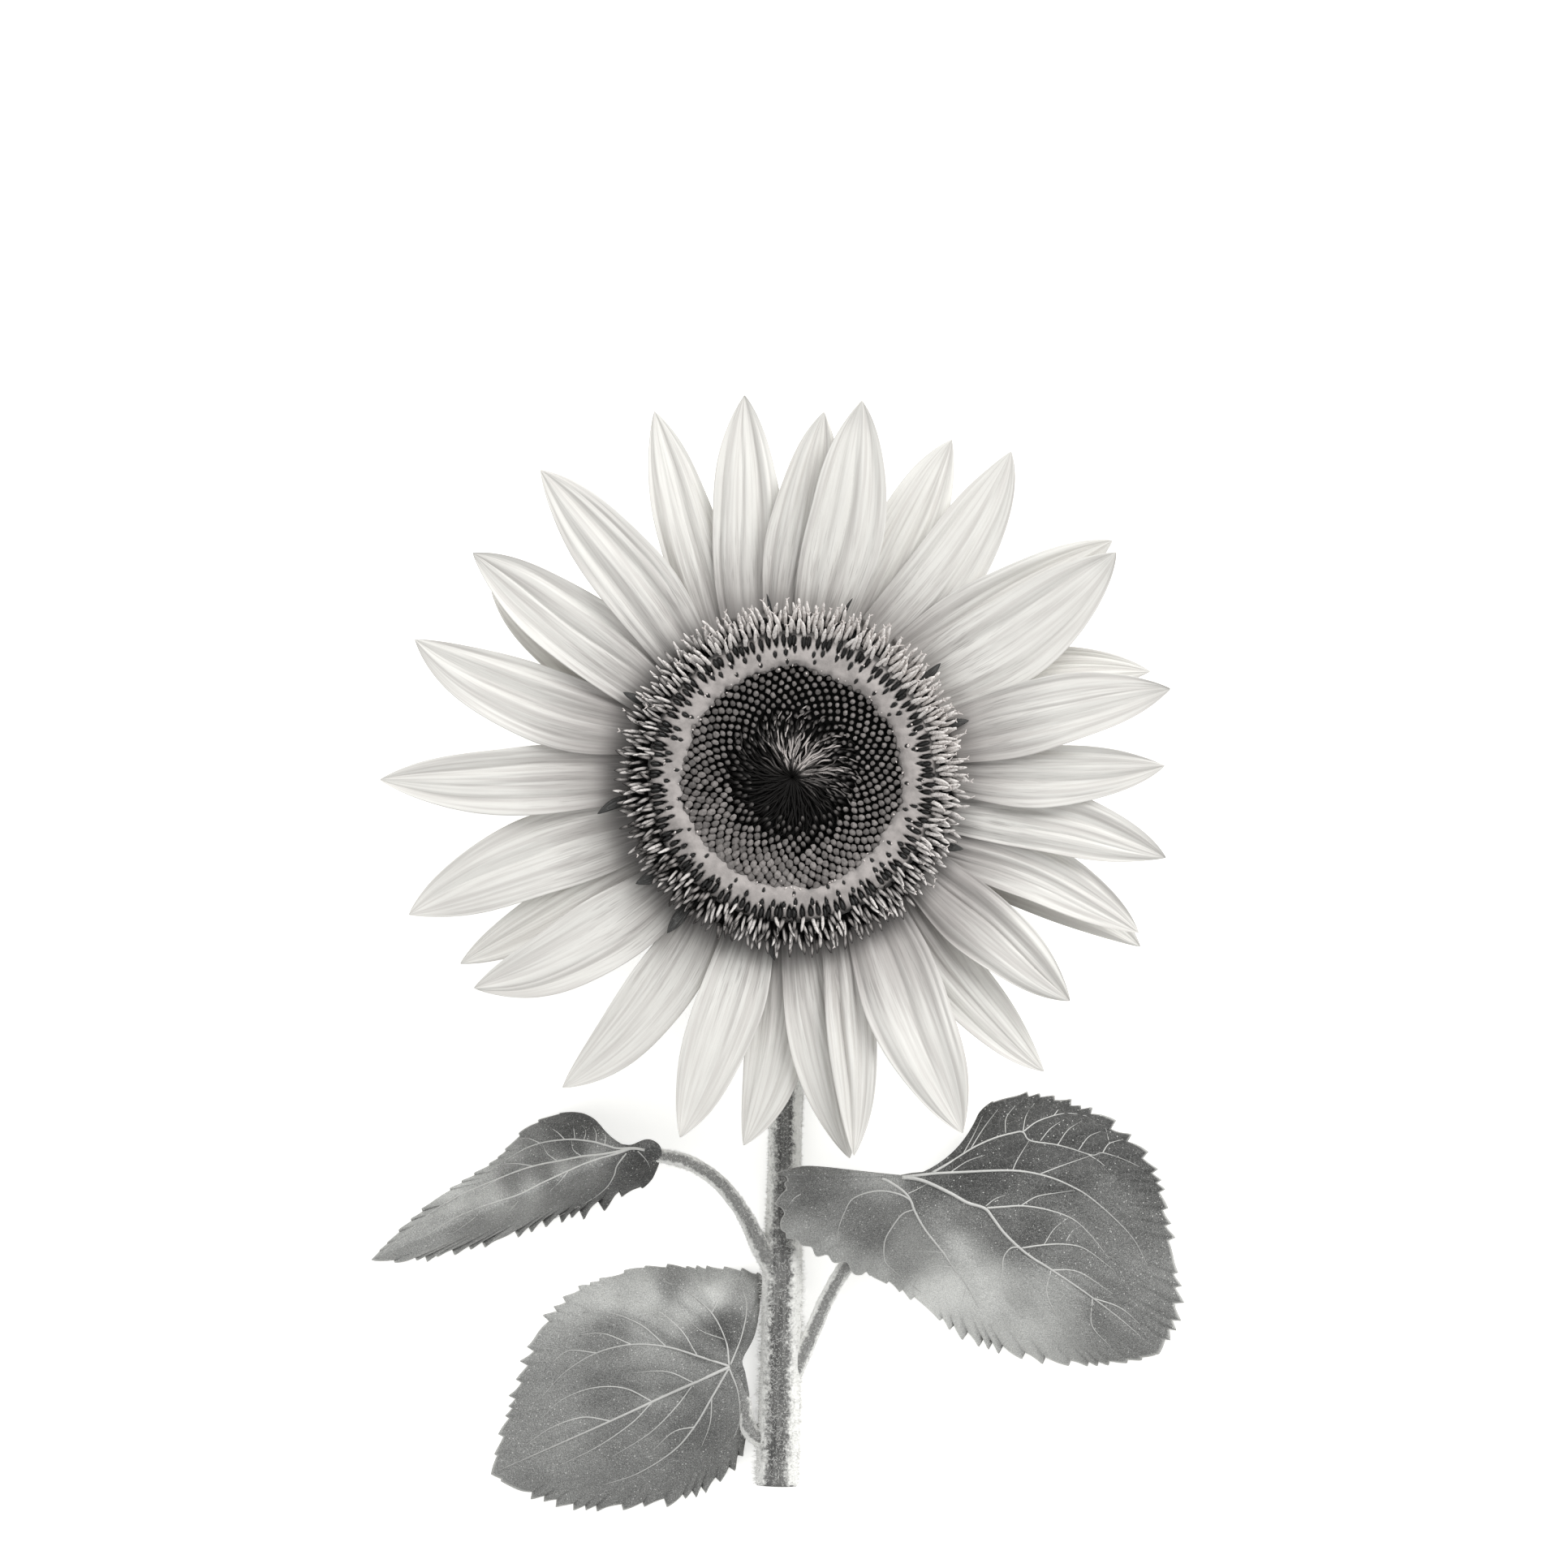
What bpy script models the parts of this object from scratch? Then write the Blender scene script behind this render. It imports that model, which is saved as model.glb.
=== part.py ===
"""A cut sunflower lying face up: flower head, bent stem and three leaves, in metres, +Z up.

The head lies on its back on its bracts, the stem runs away from it along -Y, and the leaves rest beside the stem.
The object is modelled round the head's axis and then shifted as a whole, so that the bottom centre of its
bounding box is at the origin.
"""

import math

import bmesh
import bpy
from mathutils import Vector

MM = 0.001

# ---------------------------------------------------------------------------------------- driving dimensions
GAP = 0.3 * MM  # clearance between pieces that touch

# The receptacle, the fleshy plate that carries everything, is turned round the head's axis.
RIM_RADIUS = 47.5 * MM
RIM_TOP = 37.0 * MM
NECK_TOP = 19.5 * MM  # underside of the receptacle, where the stem meets it
NECK_RADIUS = 7.5 * MM

# The three zones of disc florets stand on the receptacle.
FLORETS_BOTTOM = RIM_TOP + GAP
CENTRE_RADIUS = 31.0 * MM
BAND_INNER, BAND_OUTER = CENTRE_RADIUS + GAP, 38.0 * MM
RING_INNER, RING_FOOT, RING_OUTER = BAND_OUTER + GAP, 44.6 * MM, 50.4 * MM
DISC_STEPS = 40
CENTRE_HOLLOW, CENTRE_TOP, BAND_TOP, RING_TOP = 43.5 * MM, 48.0 * MM, 50.5 * MM, 54.0 * MM

# Ray petals
PETAL_BASE_RADIUS = 46.5 * MM
PETAL_THICKNESS = 0.5 * MM
PETAL_LOWEST = 37.7 * MM  # height of a level-0 petal's base
PETAL_LEVEL_STEP = 1.15 * MM
PETAL_SLOPE, PETAL_LEVEL_SLOPE = 0.0, 0.05  # rise over length at level 0, and what each level adds
PETAL_SAG = 0.09  # how far the tip bends down, over the petal's length
PETAL_CUP = 0.10  # how far the margins turn up, over the half width
PETAL_TIP_WIDTH = 0.035  # width left at the very tip, over the greatest width

# One row for each petal, anticlockwise from +X: direction of its tip in degrees, radius of its tip in mm,
# direction of its base in degrees, greatest width in mm, stacking level from 0 (lowest), and the sideways bow
# of its middle towards anticlockwise, over its length.
PETALS = (
    (1.8, 105.4, 2.1, 18.4, 4, -0.03),
    (13.2, 109.6, 14.0, 21.0, 5, 0.015),
    (16.5, 106.0, 24.4, 17.2, 1, 0.07),
    (34.8, 111.5, 33.8, 25.0, 4, -0.045),
    (36.5, 112.8, 45.5, 20.7, 3, 0.0),
    (56.1, 111.4, 57.4, 21.5, 2, -0.06),
    (64.7, 106.1, 65.9, 20.7, 1, 0.0),
    (79.5, 108.3, 79.1, 22.8, 4, -0.025),
    (85.0, 103.9, 92.0, 19.6, 3, 0.0),
    (97.1, 109.2, 105.5, 20.9, 2, 0.0),
    (110.6, 111.1, 117.5, 18.4, 1, 0.0),
    (129.3, 112.1, 130.7, 21.6, 5, -0.02),
    (144.9, 110.3, 147.5, 21.9, 4, -0.01),
    (148.2, 100.4, 155.0, 18.4, 1, 0.0),
    (159.9, 113.7, 161.5, 22.0, 3, 0.065),
    (180.3, 116.8, 179.2, 20.2, 2, 0.015),
    (199.7, 115.5, 198.0, 23.5, 1, -0.035),
    (209.3, 108.1, 210.0, 16.1, 0, 0.0),
    (213.5, 108.1, 221.2, 21.5, 2, 0.065),
    (233.5, 109.5, 236.5, 19.0, 1, 0.07),
    (252.7, 106.7, 255.0, 19.8, 3, 0.015),
    (262.5, 105.3, 266.4, 19.0, 1, 0.07),
    (278.6, 109.1, 275.5, 20.2, 2, -0.015),
    (279.3, 108.4, 286.9, 14.7, 3, 0.03),
    (295.6, 111.4, 300.5, 24.4, 4, -0.01),
    (310.6, 109.9, 313.0, 17.9, 1, -0.04),
    (321.2, 100.9, 324.0, 19.8, 3, 0.0),
    (334.1, 110.0, 331.5, 17.6, 0, 0.07),
    (335.9, 107.6, 336.5, 18.0, 2, 0.06),
    (347.9, 108.2, 349.5, 19.6, 3, 0.045),
)

# Bracts, the green scales behind the petals: an outer row that curls back to the surface, and an inner row
# that spreads under the petals. Profiles are (radius, height) points of the middle line, in mm.
BRACT_THICKNESS = 0.8 * MM
OUTER_BRACTS, INNER_BRACTS = 11, 10
OUTER_BRACT_WIDTH, INNER_BRACT_WIDTH = 16.5 * MM, 15.0 * MM
OUTER_BRACT_LINE = ((39.0, 26.6), (49.0, 26.2), (58.0, 21.0), (65.0, 11.5), (69.5, 0.46))
INNER_BRACT_LINE = ((46.6, 31.4), (54.0, 32.2), (62.0, 31.0), (70.0, 27.0), (77.0, 21.0))
FIRST_OUTER_BRACT = 270.0 + 180.0 / OUTER_BRACTS  # the stem passes midway between two outer bracts

# Stem: its middle line is the bend under the head and then points along the surface, as (x, y, radius) in mm.
NECK_STRAIGHT = 1.5 * MM
NECK_BEND_RADIUS = 12.0 * MM
NECK_BEND_STEPS = 7
STEM_RUN = (
    (0.0, -12.0, 5.7),
    (-0.4, -40.0, 5.3),
    (-1.1, -70.0, 5.1),
    (-1.9, -100.0, 5.0),
    (-2.3, -120.0, 5.2),
    (-2.7, -140.0, 5.7),
    (-3.2, -165.0, 5.9),
    (-3.8, -186.0, 6.1),
    (-4.3, -203.0, 6.1),
)

# Leaves. Positions are in mm. An outline is (degrees from the midrib, anticlockwise positive; radius from the
# leaf's base; height of the margin). A stalk is (x, y, z, radius), from the stem to the leaf's base.
LEAF_THICKNESS = 0.7 * MM
LEAF_SPOKES, LEAF_RINGS = 30, 4
LEAF_FALL = 1.6  # how the blade falls from its base to its margin: 1 is a cone, more is a dome
RIGHT_LEAF = {
    "base": (34.3, -113.6, 25.0),
    "midrib_direction": -36.0,
    "outline": (
        (-180, 3, 24), (-158, 15, 22), (-148, 33, 17), (-132, 39, 15), (-115, 37.5, 15.5), (-100, 34, 15.5),
        (-82, 32, 13), (-62, 35.5, 8), (-45, 43, 4), (-28, 56, 1.5), (-12, 74, 0.8), (0, 89, 0.6), (12, 84, 0.8),
        (24, 75, 1.2), (36, 67, 1.5), (50, 56, 2.5), (62, 46, 4), (72, 39, 8), (77, 32, 11), (84, 10, 20),
        (110, 4, 23.5),
    ),
    "stalk": (
        (5.7, -166.6, 6.2, 2.6), (8.6, -158.0, 7.0, 2.4), (13.5, -146.0, 8.6, 2.3), (20.0, -134.0, 12.0, 2.3),
        (27.0, -123.5, 18.0, 2.3), (33.0, -115.5, 23.2, 2.2), (38.0, -113.0, 24.6, 1.7),
        (46.0, -118.5, 24.1, 1.2),
    ),
}
LEFT_LEAF = {
    "base": (-37.7, -106.9, 23.0),
    "midrib_direction": 200.9,
    "outline": (
        (-180, 2, 22.5), (-120, 3, 22), (-72, 6, 20), (-60, 11, 17), (-48, 24, 10), (-36, 34, 3), (-28, 38, 1.2),
        (-20, 43, 1.0), (-12, 51, 0.8), (-6, 68, 0.8), (0, 89, 0.6), (7, 60, 0.8), (14, 42, 0.8), (24, 25, 3),
        (36, 16.5, 7), (50, 12, 11), (75, 6.5, 17), (120, 3, 22),
    ),
    "stalk": (
        (-11.1, -139.6, 6.5, 2.6), (-13.0, -133.0, 9.0, 2.5), (-15.6, -124.0, 13.0, 2.4),
        (-20.5, -115.5, 17.5, 2.3), (-27.5, -109.5, 21.0, 2.3), (-35.0, -107.2, 22.6, 2.2),
        (-42.0, -108.2, 22.6, 1.7), (-50.0, -111.4, 20.9, 1.2),
    ),
}
LOWER_LEAF = {
    "base": (-17.5, -168.4, 14.0),
    "midrib_direction": 204.7,
    "outline": (
        (-180, 2, 13.5), (-150, 11, 9), (-133, 19.5, 4.5), (-112, 25, 2), (-90, 30, 1.2), (-73, 36, 1.0),
        (-62, 41, 0.8), (-50, 47, 0.8), (-36, 54, 0.8), (-20, 61, 0.7), (-8, 68, 0.7), (0, 77, 0.6),
        (8, 69, 0.7), (20, 59, 0.8), (36, 46, 1.0), (52, 37, 1.5), (70, 27, 3), (90, 12, 8), (125, 4.5, 13),
    ),
    "stalk": (
        (-12.7, -187.0, 6.8, 2.5), (-13.8, -180.0, 8.2, 2.3), (-15.4, -173.5, 10.8, 2.2),
        (-18.5, -168.6, 12.9, 2.0), (-23.0, -169.2, 13.3, 1.6), (-29.0, -171.8, 13.0, 1.2),
    ),
}

# ----------------------------------------------------------------------------------------------- materials
# name: (base colour, roughness)
FINISHES = {
    "petal": ((0.78, 0.77, 0.74), 0.55),
    "floret_dark": ((0.10, 0.10, 0.10), 0.7),
    "floret_pale": ((0.38, 0.37, 0.36), 0.85),
    "floret_open": ((0.30, 0.29, 0.28), 0.75),
    "bract": ((0.14, 0.14, 0.135), 0.65),
    "stem": ((0.20, 0.20, 0.195), 0.7),
    "leaf": ((0.15, 0.15, 0.145), 0.6),
}


def material(name):
    """The named finish as a Principled material, made once."""
    found = bpy.data.materials.get(name)
    if found:
        return found
    colour, roughness = FINISHES[name]
    made = bpy.data.materials.new(name)
    made.use_nodes = True
    shader = made.node_tree.nodes["Principled BSDF"]
    shader.inputs["Base Color"].default_value = (*colour, 1.0)
    shader.inputs["Roughness"].default_value = roughness
    shader.inputs["Metallic"].default_value = 0.0
    made.diffuse_color = (*colour, 1.0)
    return made


# ------------------------------------------------------------------------------------------- shared helpers
def clear_scene():
    for obj in list(bpy.data.objects):
        bpy.data.objects.remove(obj)


def add_object(name, data, finish, flower):
    """A named object in the flower's collection, parented to its empty."""
    obj = bpy.data.objects.new(name, data)
    data.materials.append(material(finish))
    flower.users_collection[0].objects.link(obj)
    obj.parent = flower
    return obj


def smooth_step(x):
    x = min(max(x, 0.0), 1.0)
    return x * x * (3 - 2 * x)


def on_circle(radius, degrees):
    angle = math.radians(degrees)
    return Vector((radius * math.cos(angle), radius * math.sin(angle)))


def along_line(points, share):
    """Point at a share from 0 to 1 along evenly spaced points, on a smooth curve through them."""
    last = len(points) - 1
    place = min(max(share, 0.0), 1.0) * last
    i = min(int(place), last - 1)
    t = place - i
    before, start, end, after = (Vector(points[min(max(k, 0), last)]) for k in (i - 1, i, i + 1, i + 2))
    return 0.5 * (
        2 * start
        + (end - before) * t
        + (2 * before - 5 * start + 4 * end - after) * t**2
        + (3 * start - before - 3 * end + after) * t**3
    )


def thin_sheet(name, long_steps, wide_steps, place, thickness, finish, flower):
    """A closed thin solid round the surface place(t, s): t from 0 to 1 along it, s from -1 to 1 across it."""
    sheet = bmesh.new()
    bmesh.ops.create_grid(sheet, x_segments=long_steps, y_segments=wide_steps, size=1.0)
    for vertex in sheet.verts:
        vertex.co = place((vertex.co.x + 1) / 2, vertex.co.y)
    mesh = bpy.data.meshes.new(name)
    sheet.to_mesh(mesh)
    sheet.free()
    mesh.shade_smooth()
    obj = add_object(name, mesh, finish, flower)
    solidify = obj.modifiers.new("Thickness", "SOLIDIFY")
    solidify.thickness = thickness
    solidify.offset = 0.0
    return obj


def turned(name, profile, closed, finish, flower):
    """A solid turned round the Z axis. The profile, (radius, height) points, runs down its outer side."""
    mesh = bpy.data.meshes.new(name)
    count = len(profile)
    edges = [(i, (i + 1) % count) for i in range(count if closed else count - 1)]
    mesh.from_pydata([(radius, 0.0, height) for radius, height in profile], edges, [])
    obj = add_object(name, mesh, finish, flower)
    screw = obj.modifiers.new("Turn", "SCREW")
    screw.steps = DISC_STEPS
    screw.render_steps = DISC_STEPS
    screw.use_merge_vertices = True
    screw.merge_threshold = 0.01 * MM
    screw.use_smooth_shade = True
    return obj


def tube(name, points, finish, flower):
    """A round solid along (point, radius) pairs, with filled ends."""
    curve = bpy.data.curves.new(name, "CURVE")
    curve.dimensions = "3D"
    curve.bevel_depth = 1.0 * MM
    curve.bevel_resolution = 3
    curve.use_fill_caps = True
    spline = curve.splines.new("POLY")
    spline.points.add(len(points) - 1)
    for knot, (place, radius) in zip(spline.points, points):
        knot.co = (*place, 1.0)
        knot.radius = radius / (1.0 * MM)
    return add_object(name, curve, finish, flower)


def mesh_from_curve(obj, flower):
    """The same object as a closed mesh, so that a Boolean can use it."""
    evaluated = obj.evaluated_get(bpy.context.evaluated_depsgraph_get())
    mesh = bpy.data.meshes.new_from_object(evaluated)
    welded = bmesh.new()
    welded.from_mesh(mesh)
    bmesh.ops.remove_doubles(welded, verts=welded.verts, dist=0.001 * MM)
    bmesh.ops.recalc_face_normals(welded, faces=welded.faces)
    welded.to_mesh(mesh)
    welded.free()
    name, matrix = obj.name, obj.matrix_world.copy()
    bpy.data.objects.remove(obj)
    made = bpy.data.objects.new(name, mesh)
    flower.users_collection[0].objects.link(made)
    made.parent = flower
    made.matrix_world = matrix
    return made


# ------------------------------------------------------------------------------------------ the flower head
def receptacle(flower):
    profile = (
        (0.0, RIM_TOP),
        (RIM_RADIUS - 1.0 * MM, RIM_TOP),
        (RIM_RADIUS, RIM_TOP - 1.0 * MM),
        (46.6 * MM, 33.5 * MM),
        (42.0 * MM, 29.6 * MM),
        (32.0 * MM, 26.0 * MM),
        (18.0 * MM, 22.5 * MM),
        (10.0 * MM, 20.8 * MM),
        (NECK_RADIUS, NECK_TOP),
        (0.0, NECK_TOP),
    )
    return turned("receptacle", profile, False, "bract", flower)


def centre_florets(flower):
    """The unopened florets: a shallow hollow in the middle of the disc."""
    profile = (
        (0.0, CENTRE_HOLLOW),
        (9.0 * MM, CENTRE_HOLLOW + 1.1 * MM),
        (19.0 * MM, CENTRE_HOLLOW + 3.4 * MM),
        (CENTRE_RADIUS - 1.5 * MM, CENTRE_TOP),
        (CENTRE_RADIUS, CENTRE_TOP - 1.5 * MM),
        (CENTRE_RADIUS, FLORETS_BOTTOM),
        (0.0, FLORETS_BOTTOM),
    )
    return turned("centre_florets", profile, False, "floret_dark", flower)


def pollen_band(flower):
    """The pale band of opening florets round the centre, crowned above its neighbours' edges."""
    profile = (
        (BAND_INNER, BAND_TOP - 1.6 * MM),
        (BAND_INNER + 2.4 * MM, BAND_TOP),
        (BAND_OUTER - 1.6 * MM, BAND_TOP - 0.4 * MM),
        (BAND_OUTER, BAND_TOP - 1.6 * MM),
        (BAND_OUTER, FLORETS_BOTTOM),
        (BAND_INNER, FLORETS_BOTTOM),
    )
    return turned("pollen_band", profile, True, "floret_pale", flower)


def open_florets(flower):
    """The open florets: a ring that leans out over the bases of the petals."""
    profile = (
        (RING_INNER, RING_TOP - 4.2 * MM),
        (RING_INNER + 3.6 * MM, RING_TOP - 0.6 * MM),
        (RING_OUTER - 4.0 * MM, RING_TOP),
        (RING_OUTER, RING_TOP - 2.6 * MM),
        (RING_OUTER, RING_TOP - 5.5 * MM),
        (RING_FOOT, RING_TOP - 8.6 * MM),
        (RING_FOOT, FLORETS_BOTTOM),
        (RING_INNER, FLORETS_BOTTOM),
    )
    return turned("open_florets", profile, True, "floret_open", flower)


# ---------------------------------------------------------------------------------------- petals and bracts
def petal_outline(t):
    """Half width of a petal at a share t of its length, over its greatest half width."""
    spread = 0.60 + 0.40 * math.sin(math.pi / 2 * min(t / 0.42, 1.0))
    point = max(1 - t**4.5, 0.0) ** 0.9
    return PETAL_TIP_WIDTH + (1 - PETAL_TIP_WIDTH) * spread * point


def petal_surface(tip_direction, tip_radius, base_direction, width, level, bow):
    """The function (t, s) to a point on the petal's middle surface."""
    base = on_circle(PETAL_BASE_RADIUS, base_direction)
    chord = on_circle(tip_radius * MM, tip_direction) - base
    length = chord.length
    sideways = Vector((-chord.y, chord.x)) / length

    def place(t, s):
        middle = base + chord * t + sideways * (bow * length * 4 * t * (1 - t))
        heading = chord + sideways * (bow * length * 4 * (1 - 2 * t))
        across = Vector((-heading.y, heading.x)).normalized()
        half = width * MM / 2 * petal_outline(t)
        flat = middle + across * (s * half)
        rise = (PETAL_SLOPE + PETAL_LEVEL_SLOPE * level) * t - PETAL_SAG * t**2
        cup = PETAL_CUP * half * s * s * smooth_step(t / 0.5)
        return Vector((*flat, PETAL_LOWEST + PETAL_LEVEL_STEP * level + length * rise + cup))

    return place


def ray_petals(flower):
    for number, row in enumerate(PETALS, 1):
        thin_sheet(f"ray_petal_{number:02d}", 7, 4, petal_surface(*row), PETAL_THICKNESS, "petal", flower)


def bract_outline(t):
    """Half width of a bract, over its greatest: broad near the base, drawn out to a long fine tip."""
    return max((0.62 + 1.5 * t) * (1 - t) ** 0.9, 0.06) if t > 0.25 else 0.62 + 0.55 * t


def bract_surface(line, width, direction):
    outward = on_circle(1.0, direction)
    across = Vector((-outward.y, outward.x))

    def place(t, s):
        radius, height = along_line(line, t) * MM
        half = width / 2 * min(bract_outline(t), 1.0)
        flat = outward * radius + across * (s * half)
        return Vector((*flat, height - 0.12 * half * s * s))

    return place


def bracts(flower):
    for i in range(OUTER_BRACTS):
        surface = bract_surface(OUTER_BRACT_LINE, OUTER_BRACT_WIDTH, FIRST_OUTER_BRACT + 360 / OUTER_BRACTS * i)
        thin_sheet(f"outer_bract_{i + 1:02d}", 5, 2, surface, BRACT_THICKNESS, "bract", flower)
    for i in range(INNER_BRACTS):
        surface = bract_surface(INNER_BRACT_LINE, INNER_BRACT_WIDTH, 360 / INNER_BRACTS * i)
        thin_sheet(f"inner_bract_{i + 1:02d}", 5, 2, surface, BRACT_THICKNESS, "bract", flower)


# ------------------------------------------------------------------------------------------ stem and leaves
def stem(flower):
    """The bend under the head, then the run along the surface, to a plain cut end."""
    first_radius = STEM_RUN[0][2] * MM
    bend_top = NECK_TOP - GAP - NECK_STRAIGHT
    points = [((0.0, 0.0, NECK_TOP - GAP), first_radius + 1.1 * MM)]
    for i in range(NECK_BEND_STEPS):
        angle = math.pi / 2 * i / NECK_BEND_STEPS
        reach = NECK_BEND_RADIUS * (1 - math.cos(angle))
        drop = NECK_BEND_RADIUS * math.sin(angle)
        radius = first_radius + 0.9 * MM * (1 - i / NECK_BEND_STEPS) ** 2
        points.append(((0.0, -reach, bend_top - drop), radius))
    for x, y, radius in STEM_RUN:
        points.append(((x * MM, y * MM, radius * MM), radius * MM))
    return tube("stem", points, "stem", flower)


def margin_at(outline, degrees):
    """(radius, height) of a leaf's margin at an angle from its midrib."""
    for start, end in zip(outline, [*outline[1:], (outline[0][0] + 360, *outline[0][1:])]):
        if start[0] <= degrees <= end[0]:
            share = (degrees - start[0]) / (end[0] - start[0])
            return Vector(start[1:]).lerp(Vector(end[1:]), share) * MM
    raise ValueError(f"no outline at {degrees} degrees")


def leaf_blade(name, leaf, flower):
    """A heart-shaped blade: rings of points round the leaf's base, falling to the margin."""
    base = Vector(leaf["base"]) * MM
    blade = bmesh.new()
    centre = blade.verts.new(base)
    spokes = []
    for i in range(LEAF_SPOKES):
        degrees = -180 + 360 * i / LEAF_SPOKES
        reach, height = margin_at(leaf["outline"], degrees)
        heading = on_circle(1.0, leaf["midrib_direction"] + degrees)
        spoke = [centre]
        for ring in range(1, LEAF_RINGS + 1):
            share = ring / LEAF_RINGS
            fall = (base.z - height) * share**LEAF_FALL
            spoke.append(blade.verts.new((*(base.xy + heading * reach * share), base.z - fall)))
        spokes.append(spoke)
    for here, there in zip(spokes, spokes[1:] + spokes[:1]):
        blade.faces.new((centre, here[1], there[1]))
        for ring in range(1, LEAF_RINGS):
            blade.faces.new((here[ring], here[ring + 1], there[ring + 1], there[ring]))
    mesh = bpy.data.meshes.new(name)
    blade.to_mesh(mesh)
    blade.free()
    mesh.shade_smooth()
    obj = add_object(name, mesh, "leaf", flower)
    solidify = obj.modifiers.new("Thickness", "SOLIDIFY")
    solidify.thickness = LEAF_THICKNESS
    solidify.offset = 0.0
    return obj


def leaf(name, spec, cutters, flower):
    """A blade joined to its stalk, which runs on under it as the start of the midrib."""
    blade = leaf_blade(name, spec, flower)
    knots = [Vector(row) * MM for row in spec["stalk"]]
    stalk = mesh_from_curve(tube(f"{name}_stalk", [(k.xyz, k.w) for k in knots], "leaf", flower), flower)
    flower.users_collection[0].objects.unlink(stalk)
    cutters.objects.link(stalk)
    stalk.hide_render = True
    stalk.display_type = "WIRE"
    union = blade.modifiers.new("Stalk", "BOOLEAN")
    union.operation = "UNION"
    union.solver = "EXACT"
    union.object = stalk
    return blade


# ------------------------------------------------------------------------------------------------- placing
def stand_on_origin(flower):
    """Shifts the whole flower so that its bounding box's bottom centre is at the origin."""
    bpy.context.view_layer.update()
    graph = bpy.context.evaluated_depsgraph_get()
    corners = []
    for obj in flower.users_collection[0].objects:
        if obj.type in ("MESH", "CURVE"):
            evaluated = obj.evaluated_get(graph)
            mesh = evaluated.to_mesh()
            corners.extend(evaluated.matrix_world @ vertex.co for vertex in mesh.vertices)
            evaluated.to_mesh_clear()
    low = Vector(min(corner[axis] for corner in corners) for axis in range(3))
    high = Vector(max(corner[axis] for corner in corners) for axis in range(3))
    flower.location = (-(low.x + high.x) / 2, -(low.y + high.y) / 2, -low.z)


def main():
    clear_scene()
    collection = bpy.data.collections.new("sunflower")
    helpers = bpy.data.collections.new("sunflower_helpers")
    bpy.context.scene.collection.children.link(collection)
    bpy.context.scene.collection.children.link(helpers)
    helpers.hide_render = True
    flower = bpy.data.objects.new("sunflower", None)
    collection.objects.link(flower)

    receptacle(flower)
    centre_florets(flower)
    pollen_band(flower)
    open_florets(flower)
    ray_petals(flower)
    bracts(flower)
    stem(flower)
    leaf("right_leaf", RIGHT_LEAF, helpers, flower)
    leaf("left_leaf", LEFT_LEAF, helpers, flower)
    leaf("lower_leaf", LOWER_LEAF, helpers, flower)
    stand_on_origin(flower)


main()
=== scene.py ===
"""The finished look of a cut sunflower lying face up, built round its packed frame.

Points are worked out in millimetres round the head's axis, with the surface it lies on at height 0, and
are moved into the frame when a piece is made.
"""

import math

import bpy
import numpy as np
from bpy.props import FloatProperty, FloatVectorProperty, IntProperty, PointerProperty
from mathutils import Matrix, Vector
from mathutils.kdtree import KDTree


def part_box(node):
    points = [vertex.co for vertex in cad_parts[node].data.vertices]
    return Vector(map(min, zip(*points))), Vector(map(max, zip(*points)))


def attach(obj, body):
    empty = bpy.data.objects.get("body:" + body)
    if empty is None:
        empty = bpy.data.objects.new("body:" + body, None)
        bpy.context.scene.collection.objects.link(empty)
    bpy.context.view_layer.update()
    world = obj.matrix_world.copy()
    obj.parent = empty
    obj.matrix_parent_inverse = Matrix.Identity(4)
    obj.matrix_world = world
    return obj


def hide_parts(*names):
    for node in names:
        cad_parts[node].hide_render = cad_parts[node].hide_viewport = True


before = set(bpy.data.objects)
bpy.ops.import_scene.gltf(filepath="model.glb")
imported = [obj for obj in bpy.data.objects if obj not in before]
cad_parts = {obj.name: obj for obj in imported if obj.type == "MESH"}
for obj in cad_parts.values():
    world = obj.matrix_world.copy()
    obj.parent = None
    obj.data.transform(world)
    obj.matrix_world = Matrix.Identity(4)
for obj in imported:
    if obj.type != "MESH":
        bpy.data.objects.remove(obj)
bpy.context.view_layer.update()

bl_info = {
    "name": "Cut sunflower",
    "version": (1, 0, 0),
    "blender": (4, 5, 0),
    "location": "View3D > Sidebar > Sunflower",
    "description": "Builds a cut sunflower: petals, florets, bracts, stem and leaves, and a plain studio",
    "category": "Add Mesh",
}

MM = 0.001
PLATE_LOW, PLATE_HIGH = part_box("receptacle")
PLATE_TOP = 37.0  # height of the receptacle's rim
HEAD = np.array(((PLATE_LOW.x + PLATE_HIGH.x) / 2, (PLATE_LOW.y + PLATE_HIGH.y) / 2,
    PLATE_HIGH.z - PLATE_TOP * MM))
GOLDEN_ANGLE = math.radians(137.508)

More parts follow.
